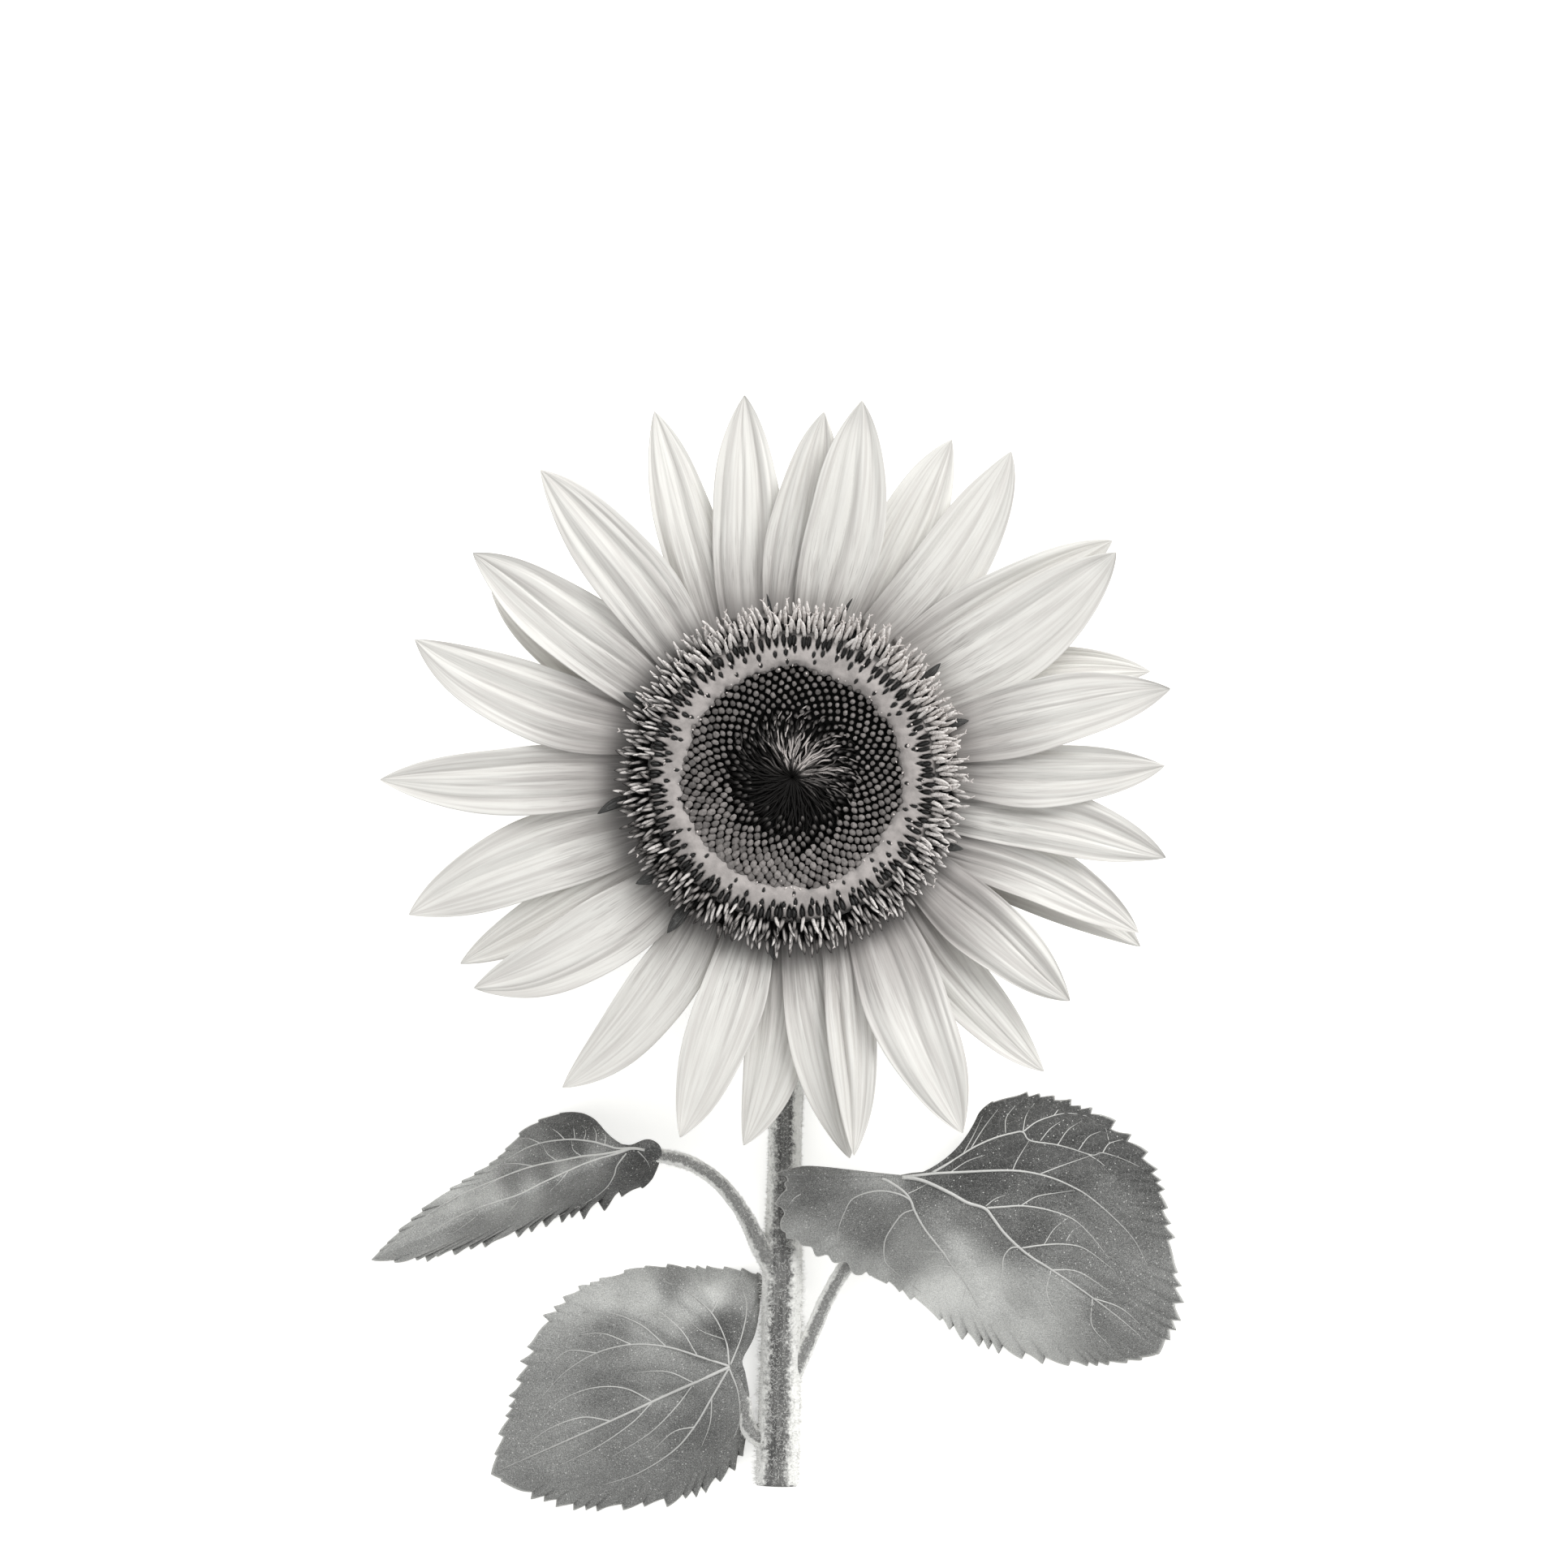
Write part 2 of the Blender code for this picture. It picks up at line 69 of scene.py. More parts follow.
# ------------------------------------------------------------------------------------------------ the flower
# One row for each petal, anticlockwise from +X: direction of its tip in degrees, radius of its tip,
# direction of its base in degrees, greatest width, stacking level, sideways bow over length, depth of its
# pleats from 0 to 1, and twist of its tip in degrees.
PETALS = (
    (1.8, 105.4, 2.1, 18.4, 4, -0.03, 0.5, 5),
    (13.2, 109.6, 14.0, 21.0, 5, 0.015, 0.45, -6),
    (16.5, 106.0, 24.4, 17.2, 1, 0.07, 0.4, -4),
    (34.8, 111.5, 33.8, 25.0, 4, -0.045, 0.3, 6),
    (36.5, 112.8, 45.5, 20.7, 3, 0.0, 0.5, -4),
    (56.1, 111.4, 57.4, 21.5, 2, -0.06, 0.5, -8),
    (64.7, 106.1, 65.9, 20.7, 1, 0.0, 0.6, 4),
    (79.5, 108.3, 79.1, 22.8, 4, -0.025, 1.0, 3),
    (85.0, 103.9, 92.0, 19.6, 3, 0.0, 0.6, -5),
    (97.1, 109.2, 105.5, 20.9, 2, 0.0, 0.6, 0),
    (110.6, 111.1, 117.5, 18.4, 1, 0.0, 0.35, 8),
    (129.3, 112.1, 130.7, 21.6, 5, -0.02, 1.0, 5),
    (144.9, 110.3, 147.5, 21.9, 4, -0.01, 0.6, -5),
    (148.2, 100.4, 155.0, 18.4, 1, 0.0, 0.5, 0),
    (159.9, 113.7, 161.5, 22.0, 3, 0.065, 0.55, 6),
    (180.3, 116.8, 179.2, 20.2, 2, 0.015, 0.5, -4),
    (199.7, 115.5, 198.0, 23.5, 1, -0.035, 0.3, 4),
    (209.3, 108.1, 210.0, 16.1, 0, 0.0, 0.3, 0),
    (213.5, 108.1, 221.2, 21.5, 2, 0.065, 0.35, -6),
    (233.5, 109.5, 236.5, 19.0, 1, 0.07, 0.4, 6),
    (252.7, 106.7, 255.0, 19.8, 3, 0.015, 0.8, -5),
    (262.5, 105.3, 266.4, 19.0, 1, 0.07, 0.6, 4),
    (278.6, 109.1, 275.5, 20.2, 2, -0.015, 0.6, 5),
    (279.3, 108.4, 286.9, 14.7, 3, 0.03, 1.0, -12),
    (295.6, 111.4, 300.5, 24.4, 4, -0.01, 0.9, 4),
    (310.6, 109.9, 313.0, 17.9, 1, -0.04, 0.4, -6),
    (321.2, 100.9, 324.0, 19.8, 3, 0.0, 1.0, 6),
    (334.1, 110.0, 331.5, 17.6, 0, 0.07, 0.5, 0),
    (335.9, 107.6, 336.5, 18.0, 2, 0.06, 0.6, -5),
    (347.9, 108.2, 349.5, 19.6, 3, 0.045, 0.7, 6),
)
# How much painted shade darkens the foot of each petal, in the same order.
PETAL_FOOT_SHADE = (
    0.3, 0.6, 0.6, -0.5, 0.2, 0.2, 0.3, -0.4, 0.3, 0.4, 0.3, 0.0, 0.3, 0.6, 0.9,
    0.8, 0.0, 0.2, -0.2, -0.2, -1.0, 0.2, 0.0, 0.1, 0.7, 0.8, 1.6, 0.8, 0.8, -0.8,
)
PETAL_BASE_RADIUS = 45.8
PETAL_LOWEST, PETAL_LEVEL_STEP = 37.7, 1.15
PETAL_LEVEL_SLOPE, PETAL_SAG, PETAL_CUP = 0.05, 0.09, 0.10
PETAL_LONG_STEPS, PETAL_WIDE_STEPS = 60, 60

# Outlines of the disc's surface, as (radius, height).
CENTRE_BED = ((0.0, 38.6), (4.0, 39.2), (9.0, 41.2), (15.0, 43.2), (22.0, 44.6), (33.0, 45.5))
RING_BED = ((30.0, 45.0), (36.0, 45.5), (42.0, 45.0), (45.4, 42.5), (45.4, 37.6), (43.0, 37.2))
BAND_OUTLINE = (
    (30.2, 45.2), (30.6, 47.6), (31.8, 49.3), (34.2, 50.0), (36.8, 49.7), (39.2, 48.5), (41.4, 46.2),
)
CENTRE_REACH, RING_REACH = 32.8, 45.4
CLOSE_SOCKETS = 122  # how many sockets the band's outer row has

# Dark scale tips that stand out past the florets over the petals: (direction, radius, length, width).
SCALE_TIPS = (
    (18.6, 52.6, 7.5, 3.4), (72.6, 53.5, 7.0, 1.3), (97.3, 52.5, 7.0, 1.2), (187.8, 56.0, 9.0, 4.0),
    (215.7, 53.5, 8.5, 5.0), (231.0, 56.5, 9.5, 4.6), (336.0, 52.5, 7.0, 3.6), (36.6, 53.0, 7.5, 3.2),
    (262.0, 52.0, 6.0, 2.4), (153.2, 53.6, 7.0, 3.0),
)

OUTER_BRACTS, INNER_BRACTS = 11, 10
OUTER_BRACT_LINE = ((39.0, 26.6), (49.0, 26.2), (58.0, 21.0), (65.0, 11.5), (69.5, 0.55))
INNER_BRACT_LINE = ((45.6, 31.0), (54.0, 32.2), (62.0, 31.0), (70.0, 27.0), (78.0, 20.6))
PLATE_OUTLINE = (
    (47.2, 37.0), (47.5, 36.0), (46.6, 33.5), (44.8, 31.4), (42.0, 29.6), (32.0, 26.0), (18.0, 22.5),
    (10.0, 20.8), (7.6, 19.4), (6.9, 18.0), (6.6, 16.6),
)

# The stem's middle line, as (x, y, height, radius), from under the head to its cut end.
STEM_LINE = (
    (0.0, 0.0, 19.6, 7.0), (0.0, -0.4, 16.4, 6.5), (0.0, -2.2, 11.8, 6.1), (0.0, -5.4, 8.1, 5.8),
    (0.0, -9.6, 6.1, 5.6), (-0.1, -18.0, 5.6, 5.5), (-0.4, -40.0, 5.3, 5.1), (-1.1, -70.0, 5.1, 4.9),
    (-1.9, -100.0, 5.0, 4.7), (-2.3, -120.0, 5.2, 4.9), (-2.7, -140.0, 5.7, 5.5),
    (-3.2, -165.0, 5.9, 5.7), (-3.8, -186.0, 6.1, 5.9), (-4.3, -203.0, 6.1, 5.9),
)

# Leaves. An outline is (x, y, height, tooth size), anticlockwise from the tip; a stalk is (x, y, height,
# radius). Each vein is its starting half-width and its (x, y) points. A fold is a height, a half-width and
# the (x, y) points of its crest. The pale spots are (x, y, paleness), painted light and shade on the blade.
# A bend is (x, y, amount, reach): how far the blade's rays curve beside a notch in its outline.
LEAVES = {
    "right_leaf": {
        "base": (34.3, -113.9, 25.0),
        "bend": (57.0, -93.4, -4.2, 22.0),
        "outline": (
            (105.5, -165.6, 1.0, 0.0), (109.6, -157, 1.1, 1), (110.8, -148, 1.2, 1), (110, -138, 1.3, 1),
            (108.2, -129, 1.5, 1), (106.8, -120.5, 1.8, 1), (104.6, -114, 2, 1), (102.8, -110.5, 2.1, 1),
            (100, -107, 2.3, 1.1), (97, -104, 2.5, 1.1), (93.6, -101.3, 2.7, 1.1), (90.4, -98.8, 3, 1.1),
            (86.5, -96.2, 3.5, 1), (82, -94.1, 4, 0.9), (75, -91.9, 5, 0.7), (70, -91.2, 5.6, 0.6),
            (66, -91.3, 6.4, 0.5), (61, -92, 7.8, 0.4), (57, -93.3, 9.2, 0.1), (54, -95.7, 11, 0),
            (52, -100, 13.5, 0), (50, -104.5, 17, 0), (46, -108.6, 20, 0), (42, -111, 22.5, 0),
            (38, -112.4, 24, 0), (34, -112.9, 24.5, 0), (30, -113.6, 23.6, 0), (25, -113.9, 22.6, 0),
            (20, -112.8, 21.5, 0), (15, -112, 20.3, 0), (10, -111.4, 19.2, 0), (5, -111.1, 18.2, 0),
            (1.8, -111.3, 17.6, 0), (-1.5, -112.1, 17, 0), (-4.5, -113.3, 16.5, 0),
            (-1.9, -113.8, 16.6, 0), (-1.2, -115.2, 16.5, 0), (-2.1, -116.1, 16.4, 0),
            (-1.6, -117.6, 16.3, 0), (-3.4, -119.7, 16.1, 0), (-4.7, -121.9, 16, 0),
            (-3.1, -122.9, 16, 0), (-2.2, -124.7, 15.8, 0), (-3.2, -126.9, 15.6, 0),
            (-3.1, -129.1, 15.5, 0), (-1.8, -130.2, 15.4, 0), (-1.4, -131.7, 15.4, 0),
            (1.2, -132.1, 15.3, 0), (2.9, -133.7, 15.3, 0), (5.6, -134.3, 15.2, 0), (7.0, -136.9, 15, 0),
            (10.1, -136.5, 15, 0), (12.0, -138.7, 14.5, 0), (15.6, -138.6, 13.8, 0),
            (17.6, -141.9, 13, 0), (19.7, -142.3, 12.6, 0), (21.2, -141.5, 12, 0),
            (23.4, -143.3, 11.2, 0.3), (28, -145, 9.3, 0.6), (32.5, -147.9, 7.3, 0.6),
            (37, -151, 5.3, 0.7), (42, -155, 4, 0.8), (50, -159.8, 2.6, 1), (59, -163.4, 1.8, 1),
            (70, -166.8, 1.3, 1), (83, -168.6, 1.1, 1), (96, -167.8, 1, 0.6),
        ),
        "stalk": (
            (0.0, -172.0, 6.2, 2.4), (3.2, -165.0, 6.6, 2.5), (6.2, -158.3, 7.0, 2.3),
            (9.2, -151.0, 8.0, 2.2), (12.6, -144.5, 9.5, 2.2), (17.0, -137.5, 11.6, 2.2),
            (23.0, -128.5, 15.4, 2.1), (29.0, -120.5, 19.4, 2.1), (33.0, -115.8, 21.3, 1.9),
            (36.0, -115.4, 21.6, 1.4), (39.0, -116.4, 20.4, 0.8),
        ),
        "veins": (
            (0.85, (31.2, -114.1), (34, -114.2), (38, -115.2), (45, -118.5), (50, -121.3), (55, -123),
             (57.5, -126), (60.5, -130), (65, -134.4), (69, -137.5), (73, -140), (84, -147.5), (95, -156),
             (105, -165)),
            (0.62, (31.4, -113.9), (36, -113.4), (41, -112.9), (48, -112.6), (60, -112.2), (67, -112.7),
             (74, -114.4), (80, -117), (85, -120), (92, -126), (98, -132.5), (102, -140)),
            (0.50, (40, -112.7), (46, -109.3), (52, -105.6), (58, -103), (63, -101.7), (66, -101.4),
             (68, -103.8), (75, -105), (80, -106.3), (86, -108.2), (89, -107.6), (95, -109.5),
             (101, -112.4)),
            (0.26, (66, -101.4), (70, -98.6), (75, -96.9), (79, -96.3), (83, -96.8), (88, -98.2)),
            (0.20, (51, -106), (55, -100), (59, -95)),
            (0.18, (48.5, -108), (52, -102), (54.5, -97)),
            (0.16, (61, -102), (61.3, -97.5), (64, -94)),
            (0.16, (66, -101.5), (67, -97), (69.5, -93.5)),
            (0.15, (75, -96.9), (77, -94.5), (78.5, -93.5)),
            (0.18, (89, -107.6), (91, -105), (95, -103.9)),
            (0.15, (91, -105), (90, -100.5)),
            (0.15, (71, -104), (74, -100.5), (78, -98)),
            (0.15, (76, -105.2), (79, -101), (83, -98.5)),
            (0.15, (82, -106.8), (85, -103), (88.5, -101.5)),
            (0.18, (63, -112.2), (64.5, -109), (67.7, -104)),
            (0.20, (71, -113.3), (78, -110.8), (86, -108.2)),
            (0.15, (85, -108.1), (88, -110), (91, -112.5)),
            (0.15, (45, -112.7), (50, -109.5), (55, -107.8)),
            (0.40, (55.5, -122.9), (60, -122.6), (66, -122.4), (73, -123.6), (80, -126.2), (85, -130.5),
             (91, -138)),
            (0.20, (65.5, -122.2), (70, -119.8), (76, -118.8), (81, -118.2)),
            (0.16, (55, -122.5), (58, -120.3), (61, -119.3)),
            (0.34, (65.5, -134.4), (72, -133.6), (78, -133.5), (84, -135), (92, -141)),
            (0.26, (65, -134.2), (62.5, -134.4), (60.5, -137), (60.3, -142), (61.5, -148), (66, -155)),
            (0.15, (72, -133.5), (75, -129), (79, -126)),
            (0.15, (78, -133.3), (80, -130), (82.5, -128.5)),
            (0.28, (74, -140.8), (82, -141.5), (92, -148)),
            (0.28, (74, -140.8), (73, -148), (78, -158)),
            (0.24, (86, -149), (94, -152), (100, -157)),
            (0.24, (86, -149), (86, -157), (91, -163)),
            (0.60, (25.6, -114.3), (27.5, -115.1), (30.5, -117), (32.7, -118.9), (34, -121), (35, -123.7),
             (38, -129), (43, -135.5), (46, -140), (50, -145.5), (53.5, -152)),
            (0.32, (33.8, -120.5), (31, -118.9), (26, -117.8), (21, -118.5), (17, -120.5), (14.8, -124.5),
             (13.3, -129), (13.2, -133.5), (15.5, -137)),
            (0.30, (34.8, -123.1), (31.5, -124.5), (28.5, -128.5), (26.5, -132.5), (26.5, -138),
             (29, -141), (33, -144.5), (37, -147.6)),
            (0.18, (45.8, -139.8), (41, -139.6), (37.5, -141.5), (35.3, -144.5)),
            (0.15, (43.5, -135.6), (38, -135.3), (33, -135.5)),
            (0.16, (50, -145.8), (48.7, -150)),
            (0.14, (2.5, -119), (0.5, -120.3), (-1, -122.5)),
            (0.18, (33, -118.6), (35.5, -117.5), (38.5, -115.9)),
        ),
        "folds": (
            (2.2, 5.0, (2, -114), (15, -114.5), (26, -116.5), (34, -121.5), (40, -131), (46, -140)),
            (-1.8, 4.5, (39, -117.5), (46, -127), (53, -138), (58, -148)),
            (1.2, 5.0, (52, -105), (64, -101), (78, -100), (92, -106)),
            (-1.2, 4.0, (50, -116), (62, -117), (76, -121), (88, -130)),
        ),
        "pale": (
            (60, -96, -0.08), (80, -99, -0.08), (97, -107, -0.05), (65, -107, -0.08), (50, -110, -0.05),
            (52, -117, 0.0), (70, -116, 0.15), (88, -121, 0.25), (80, -115, 0.1), (68, -128, 0.1),
            (80, -131, 0.25), (45, -124, 0.38), (48, -136, 0.62), (55, -147, 0.80), (46, -146, 0.88),
            (66, -156, 0.7), (62, -128, 0.2), (40, -117, 0.15), (36, -133, 0.5), (22, -130, 0.26),
            (31, -139, 0.42), (20, -124, 0.28), (5, -120, 0.25), (2, -131, 0.55), (12, -137, 0.6),
            (25, -142, 0.6), (38, -149, 0.9), (10, -113, 0.32), (24, -115.5, 0.5), (-2, -122, 0.40),
            (70, -150, 0.6), (95, -150, 0.3),
        ),
    },
    "left_leaf": {
        "base": (-46.2, -105.9, 22.8),
        "bend": (-57.0, -97.6, 1.3, 12.0),
        "outline": (
            (-120.8, -138.6, 1, 0), (-113, -139, 1.1, 0.6), (-105, -137.8, 1.2, 0.8),
            (-95, -135.6, 1.3, 0.9), (-86.5, -133, 1.6, 1), (-78.5, -130.4, 2.2, 1.1),
            (-70, -127, 3.2, 1.2), (-65, -125.8, 4, 1.2), (-60, -124.6, 5, 1.2), (-55, -122.2, 7, 1.2),
            (-50.3, -119.4, 9.5, 0.7), (-46.5, -118.3, 10.8, 0.5), (-42.9, -117.1, 12.2, 0.3),
            (-40.3, -115, 14.2, 0), (-38.8, -112.2, 17.5, 0), (-37.8, -109.5, 20.5, 0),
            (-37.2, -106.8, 22.8, 0), (-38.3, -104.5, 23, 0), (-41, -103.3, 22.6, 0),
            (-44, -104.1, 22.6, 0), (-46.4, -104.9, 22.4, 0), (-50, -104.3, 20.5, 0),
            (-53, -102, 17.5, 0), (-55, -99.5, 14.5, 0), (-57, -97.6, 12, 0), (-60, -96.3, 9.5, 0),
            (-63, -96, 7.5, 0.05), (-66, -96.4, 6, 0.1), (-69, -97.2, 4.8, 0.2), (-72, -98.5, 3.8, 0.25),
            (-75, -100.2, 3, 0.3), (-78, -102.6, 2.4, 0.3), (-80.3, -105, 2, 0.25),
            (-83, -108, 1.8, 0.25), (-87, -111.4, 1.6, 0.25), (-92, -114.6, 1.5, 0.3),
            (-97, -117.7, 1.4, 0.3), (-102.5, -121.5, 1.3, 0.4), (-108, -126, 1.2, 0.4),
            (-114, -131.5, 1.1, 0.3),
        ),
        "stalk": (
            (-3.0, -142.5, 6.3, 3.6), (-6.2, -138.6, 6.9, 3.5), (-8.8, -134.8, 7.7, 3.0),
            (-10.8, -131.0, 8.9, 2.5), (-13.0, -126.4, 11.2, 2.3), (-15.9, -121.7, 14.2, 2.2),
            (-20.2, -116.4, 17.3, 2.15), (-25.5, -112.2, 19.4, 2.1), (-31.0, -109.4, 20.2, 2.1),
            (-37.0, -108.1, 20.1, 2.0), (-42.0, -107.8, 19.5, 1.7), (-47.0, -107.5, 18.6, 1.1),
        ),
        "veins": (
            (0.62, (-42, -106.2), (-45.5, -105.8), (-50, -106.8), (-55, -107.7), (-60, -108.3),
             (-66, -109.6), (-72, -110.8), (-78, -112.6), (-84, -115), (-90, -117.5), (-96, -120.3),
             (-103, -124.5), (-111, -131), (-119.5, -138)),
            (0.42, (-46, -105.7), (-50, -105.8), (-53, -105), (-57, -104), (-62, -103.5), (-66, -103.7),
             (-71, -104.5), (-76, -106.2), (-80, -108.5), (-84, -111), (-90, -114.8), (-96, -118.3)),
            (0.50, (-46, -105.8), (-50, -107.3), (-55, -108.8), (-60, -110.6), (-66, -113.3),
             (-72, -116.1), (-77, -118.7), (-81, -120.2), (-88, -122.5), (-94, -125), (-99, -127.6),
             (-106, -132), (-113, -136)),
            (0.26, (-47.3, -107.2), (-50, -110.8), (-50.7, -113.3), (-52.5, -116.5), (-55, -119),
             (-58, -121.1), (-62, -123.3), (-66, -125.4), (-69, -127)),
            (0.18, (-44, -106.6), (-42.3, -108.3), (-41, -110.3), (-40.4, -112.5)),
            (0.16, (-59.5, -103.7), (-59, -101), (-61.5, -98.3)),
            (0.16, (-62, -103.5), (-62.7, -98.5)),
            (0.18, (-65, -103.6), (-67, -101.7), (-70, -99.9)),
            (0.15, (-56, -104.2), (-56, -101.5), (-57.6, -98.8)),
            (0.15, (-53.5, -104.9), (-53.3, -102.6), (-54.5, -101.2)),
            (0.16, (-72, -104.8), (-76, -103.5), (-79, -104.2)),
            (0.18, (-74, -111.3), (-79, -110.7), (-84, -111)),
            (0.15, (-60, -108.3), (-62.5, -106.4), (-63, -103.8)),
            (0.15, (-67, -109.8), (-70, -107.7), (-71.5, -105)),
            (0.16, (-64, -112.5), (-66.5, -115.5), (-69.5, -118.5), (-72, -123)),
            (0.16, (-77, -118.8), (-80, -123), (-86, -127.5)),
            (0.15, (-56, -109.3), (-58.5, -113), (-61, -117)),
            (0.16, (-88, -122.6), (-91, -126), (-97, -130.5)),
            (0.15, (-84, -115), (-90, -118.8), (-96, -123)),
        ),
        "folds": (
            (2.4, 3.4, (-47, -106.5), (-55, -109.5), (-66, -114), (-77, -119), (-90, -123.5)),
            (-2.0, 2.4, (-50, -107), (-60, -109), (-72, -111.6), (-84, -116), (-96, -121)),
            (2.0, 3.4, (-44, -105), (-46, -108.5), (-47, -113), (-49, -117)),
            (1.4, 4.0, (-56, -101), (-64, -100), (-72, -103)),
        ),
        "pale": (
            (-60, -98, -0.05), (-66, -101, 0.05), (-74, -103, 0.28), (-80, -107, 0.5), (-62, -106, 0.1),
            (-72, -108, 0.3), (-88, -113.5, 0.6), (-96, -118.5, 0.7), (-80, -115.5, 0.15),
            (-70, -113, 0.1), (-90, -120, 0.5), (-66, -111.5, 0.6), (-56, -108.6, 0.6), (-74, -118, 0.65),
            (-84, -122, 0.6), (-60, -115, 0.3), (-70, -122, 0.27), (-82, -127, 0.35), (-90, -129, 0.35),
            (-42, -108, 0.0), (-44, -114, 0.0), (-53, -121, 0.1), (-47, -117.5, 0.0), (-52, -112, 0.2),
            (-62, -122, 0.2), (-105, -128, 0.5), (-42, -104, 0.3),
        ),
    },
    "lower_leaf": {
        "base": (-17.5, -168.4, 14.0),
        "outline": (
            (-86.5, -200.2, 1, 0), (-76, -205.5, 1.1, 0.8), (-59.5, -209.8, 1.2, 1),
            (-40, -208.6, 1.3, 1), (-26, -204.3, 1.6, 1), (-15.5, -195.3, 3, 0.7), (-12.5, -180, 8, 0.1),
            (-13.4, -171, 12.5, 0), (-14.2, -166.5, 12.8, 0), (-10.8, -159.5, 8, 0), (-9.2, -150, 4, 0.1),
            (-8.8, -143.6, 2.2, 0.2), (-12, -142.2, 2, 0.3), (-15, -141.5, 1.9, 0.35),
            (-20, -141, 1.8, 0.4), (-24, -141, 1.7, 0.4), (-30, -140.7, 1.5, 0.4),
            (-38, -140.4, 1.4, 0.4), (-42, -140.5, 1.3, 0.4), (-46, -141.3, 1.3, 0.4),
            (-50, -142.6, 1.3, 0.5), (-54, -143.9, 1.2, 0.5), (-58, -145.4, 1.2, 0.5),
            (-61.5, -147.1, 1.2, 0.7), (-70.5, -156, 1.2, 1), (-78, -172, 1.1, 1),
            (-83, -187.5, 1.1, 0.8),
        ),
        "stalk": (
            (-6.4, -192.0, 6.4, 2.2), (-12.2, -187.0, 6.8, 2.4), (-13.8, -180.0, 8.2, 2.2),
            (-15.4, -173.5, 10.8, 2.1), (-18.5, -168.6, 12.2, 1.9), (-23.0, -169.2, 12.2, 1.5),
            (-29.0, -171.8, 11.8, 1.1),
        ),
        "veins": (
            (0.75, (-17.8, -168.6), (-28, -173.2), (-40, -178.8), (-52, -184.4), (-66, -190.8),
             (-84, -199)),
            (0.48, (-18, -168.4), (-27, -165.5), (-36, -163), (-46, -162.5), (-56, -165), (-65, -170.5),
             (-72, -178)),
            (0.48, (-18, -168.8), (-23, -177.5), (-28, -186), (-34, -193), (-44, -199.5), (-54, -203)),
            (0.40, (-18, -168.2), (-19, -161), (-23, -153.5), (-30, -147.5), (-38, -144)),
            (0.34, (-17.6, -168), (-14.5, -160), (-13, -152), (-14.5, -145.5)),
            (0.34, (-18, -169), (-15.5, -176), (-15, -184), (-17, -190)),
            (0.26, (-27, -165.5), (-32, -158), (-40, -152), (-50, -148.5)),
            (0.24, (-36, -163), (-43, -157), (-52, -153.5), (-60, -153.5)),
            (0.24, (-46, -162.5), (-54, -159.5), (-61, -160)),
            (0.26, (-40, -178.8), (-48, -175), (-57, -175), (-66, -178.5), (-72, -184)),
            (0.26, (-52, -184.4), (-60, -183.5), (-69, -186.5), (-77, -192)),
            (0.22, (-28, -173.2), (-36, -170), (-46, -170.5)),
            (0.26, (-28, -173.2), (-33, -180), (-41, -188), (-52, -195)),
            (0.24, (-40, -178.8), (-46, -185), (-56, -192), (-67, -197.5)),
            (0.22, (-23, -177.5), (-23.5, -185), (-26, -192)),
            (0.20, (-28, -186), (-34, -187.5), (-40, -193)),
            (0.20, (-23, -153.5), (-20.5, -148), (-20, -143.5)),
            (0.20, (-56, -165), (-64, -164.5), (-69, -168)),
            (0.18, (-19, -161), (-26, -158.5), (-31, -154)),
        ),
        "folds": (
            (1.6, 3.0, (-17, -160), (-22, -150), (-32, -145)),
            (-1.6, 2.6, (-20, -163), (-27, -156), (-38, -149)),
            (1.8, 3.0, (-22, -166), (-32, -160), (-46, -154), (-56, -152)),
            (1.4, 3.2, (-26, -172), (-40, -168), (-56, -169)),
            (-1.4, 3.0, (-30, -177), (-44, -177), (-60, -182)),
        ),
        "pale": (
            (-14, -150, 0.45), (-22, -148, 0.8), (-30, -152, 0.7), (-24, -143, 0.5), (-34, -144, 0.32),
            (-42, -149, 0.7), (-48, -145, 0.65), (-56, -149, 0.72), (-18, -156, 0.12), (-26, -160, 0.22),
            (-40, -158, 0.5), (-52, -160, 0.3), (-36, -172, 0.4), (-50, -178, 0.3), (-66, -186, 0.4),
            (-30, -186, 0.25), (-44, -194, 0.35),
        ),
    },
}
LEAF_FALL = 1.6
LEAF_SPOKES, LEAF_RINGS = 940, 46


# ------------------------------------------------------------------------------------------------- geometry
def smooth_step(x):
    """Eases from 0 to 1 as x goes from 0 to 1, and stays level past them."""
    x = np.clip(x, 0.0, 1.0)
    return x * x * (3 - 2 * x)


def unit(vectors):
    """The same directions with length 1."""
    return vectors / np.maximum(np.linalg.norm(vectors, axis=-1, keepdims=True), 1e-9)


def towards(degrees):
    """Flat unit vectors in the given directions."""
    angle = np.radians(degrees)
    return np.stack([np.cos(angle), np.sin(angle)], -1)


def smooth_line(points, count):
    """count points, evenly spaced by length, on a smooth curve through the given ones."""
    points = np.asarray(points, float)
    padded = np.vstack([2 * points[0] - points[1], points, 2 * points[-1] - points[-2]])
    t = np.linspace(0, 1, 24, endpoint=False)[:, None]
    stretch = []
    for a, b, c, d in zip(padded, padded[1:], padded[2:], padded[3:]):
        stretch.append(0.5 * (2 * b + (c - a) * t + (2 * a - 5 * b + 4 * c - d) * t**2
            + (3 * b - a - 3 * c + d) * t**3))
    fine = np.vstack([*stretch, points[-1:]])
    run = np.concatenate([[0], np.cumsum(np.linalg.norm(np.diff(fine[:, :3], axis=0), axis=1))])
    wanted = np.linspace(0, run[-1], count)
    return np.stack([np.interp(wanted, run, column) for column in fine.T], -1)


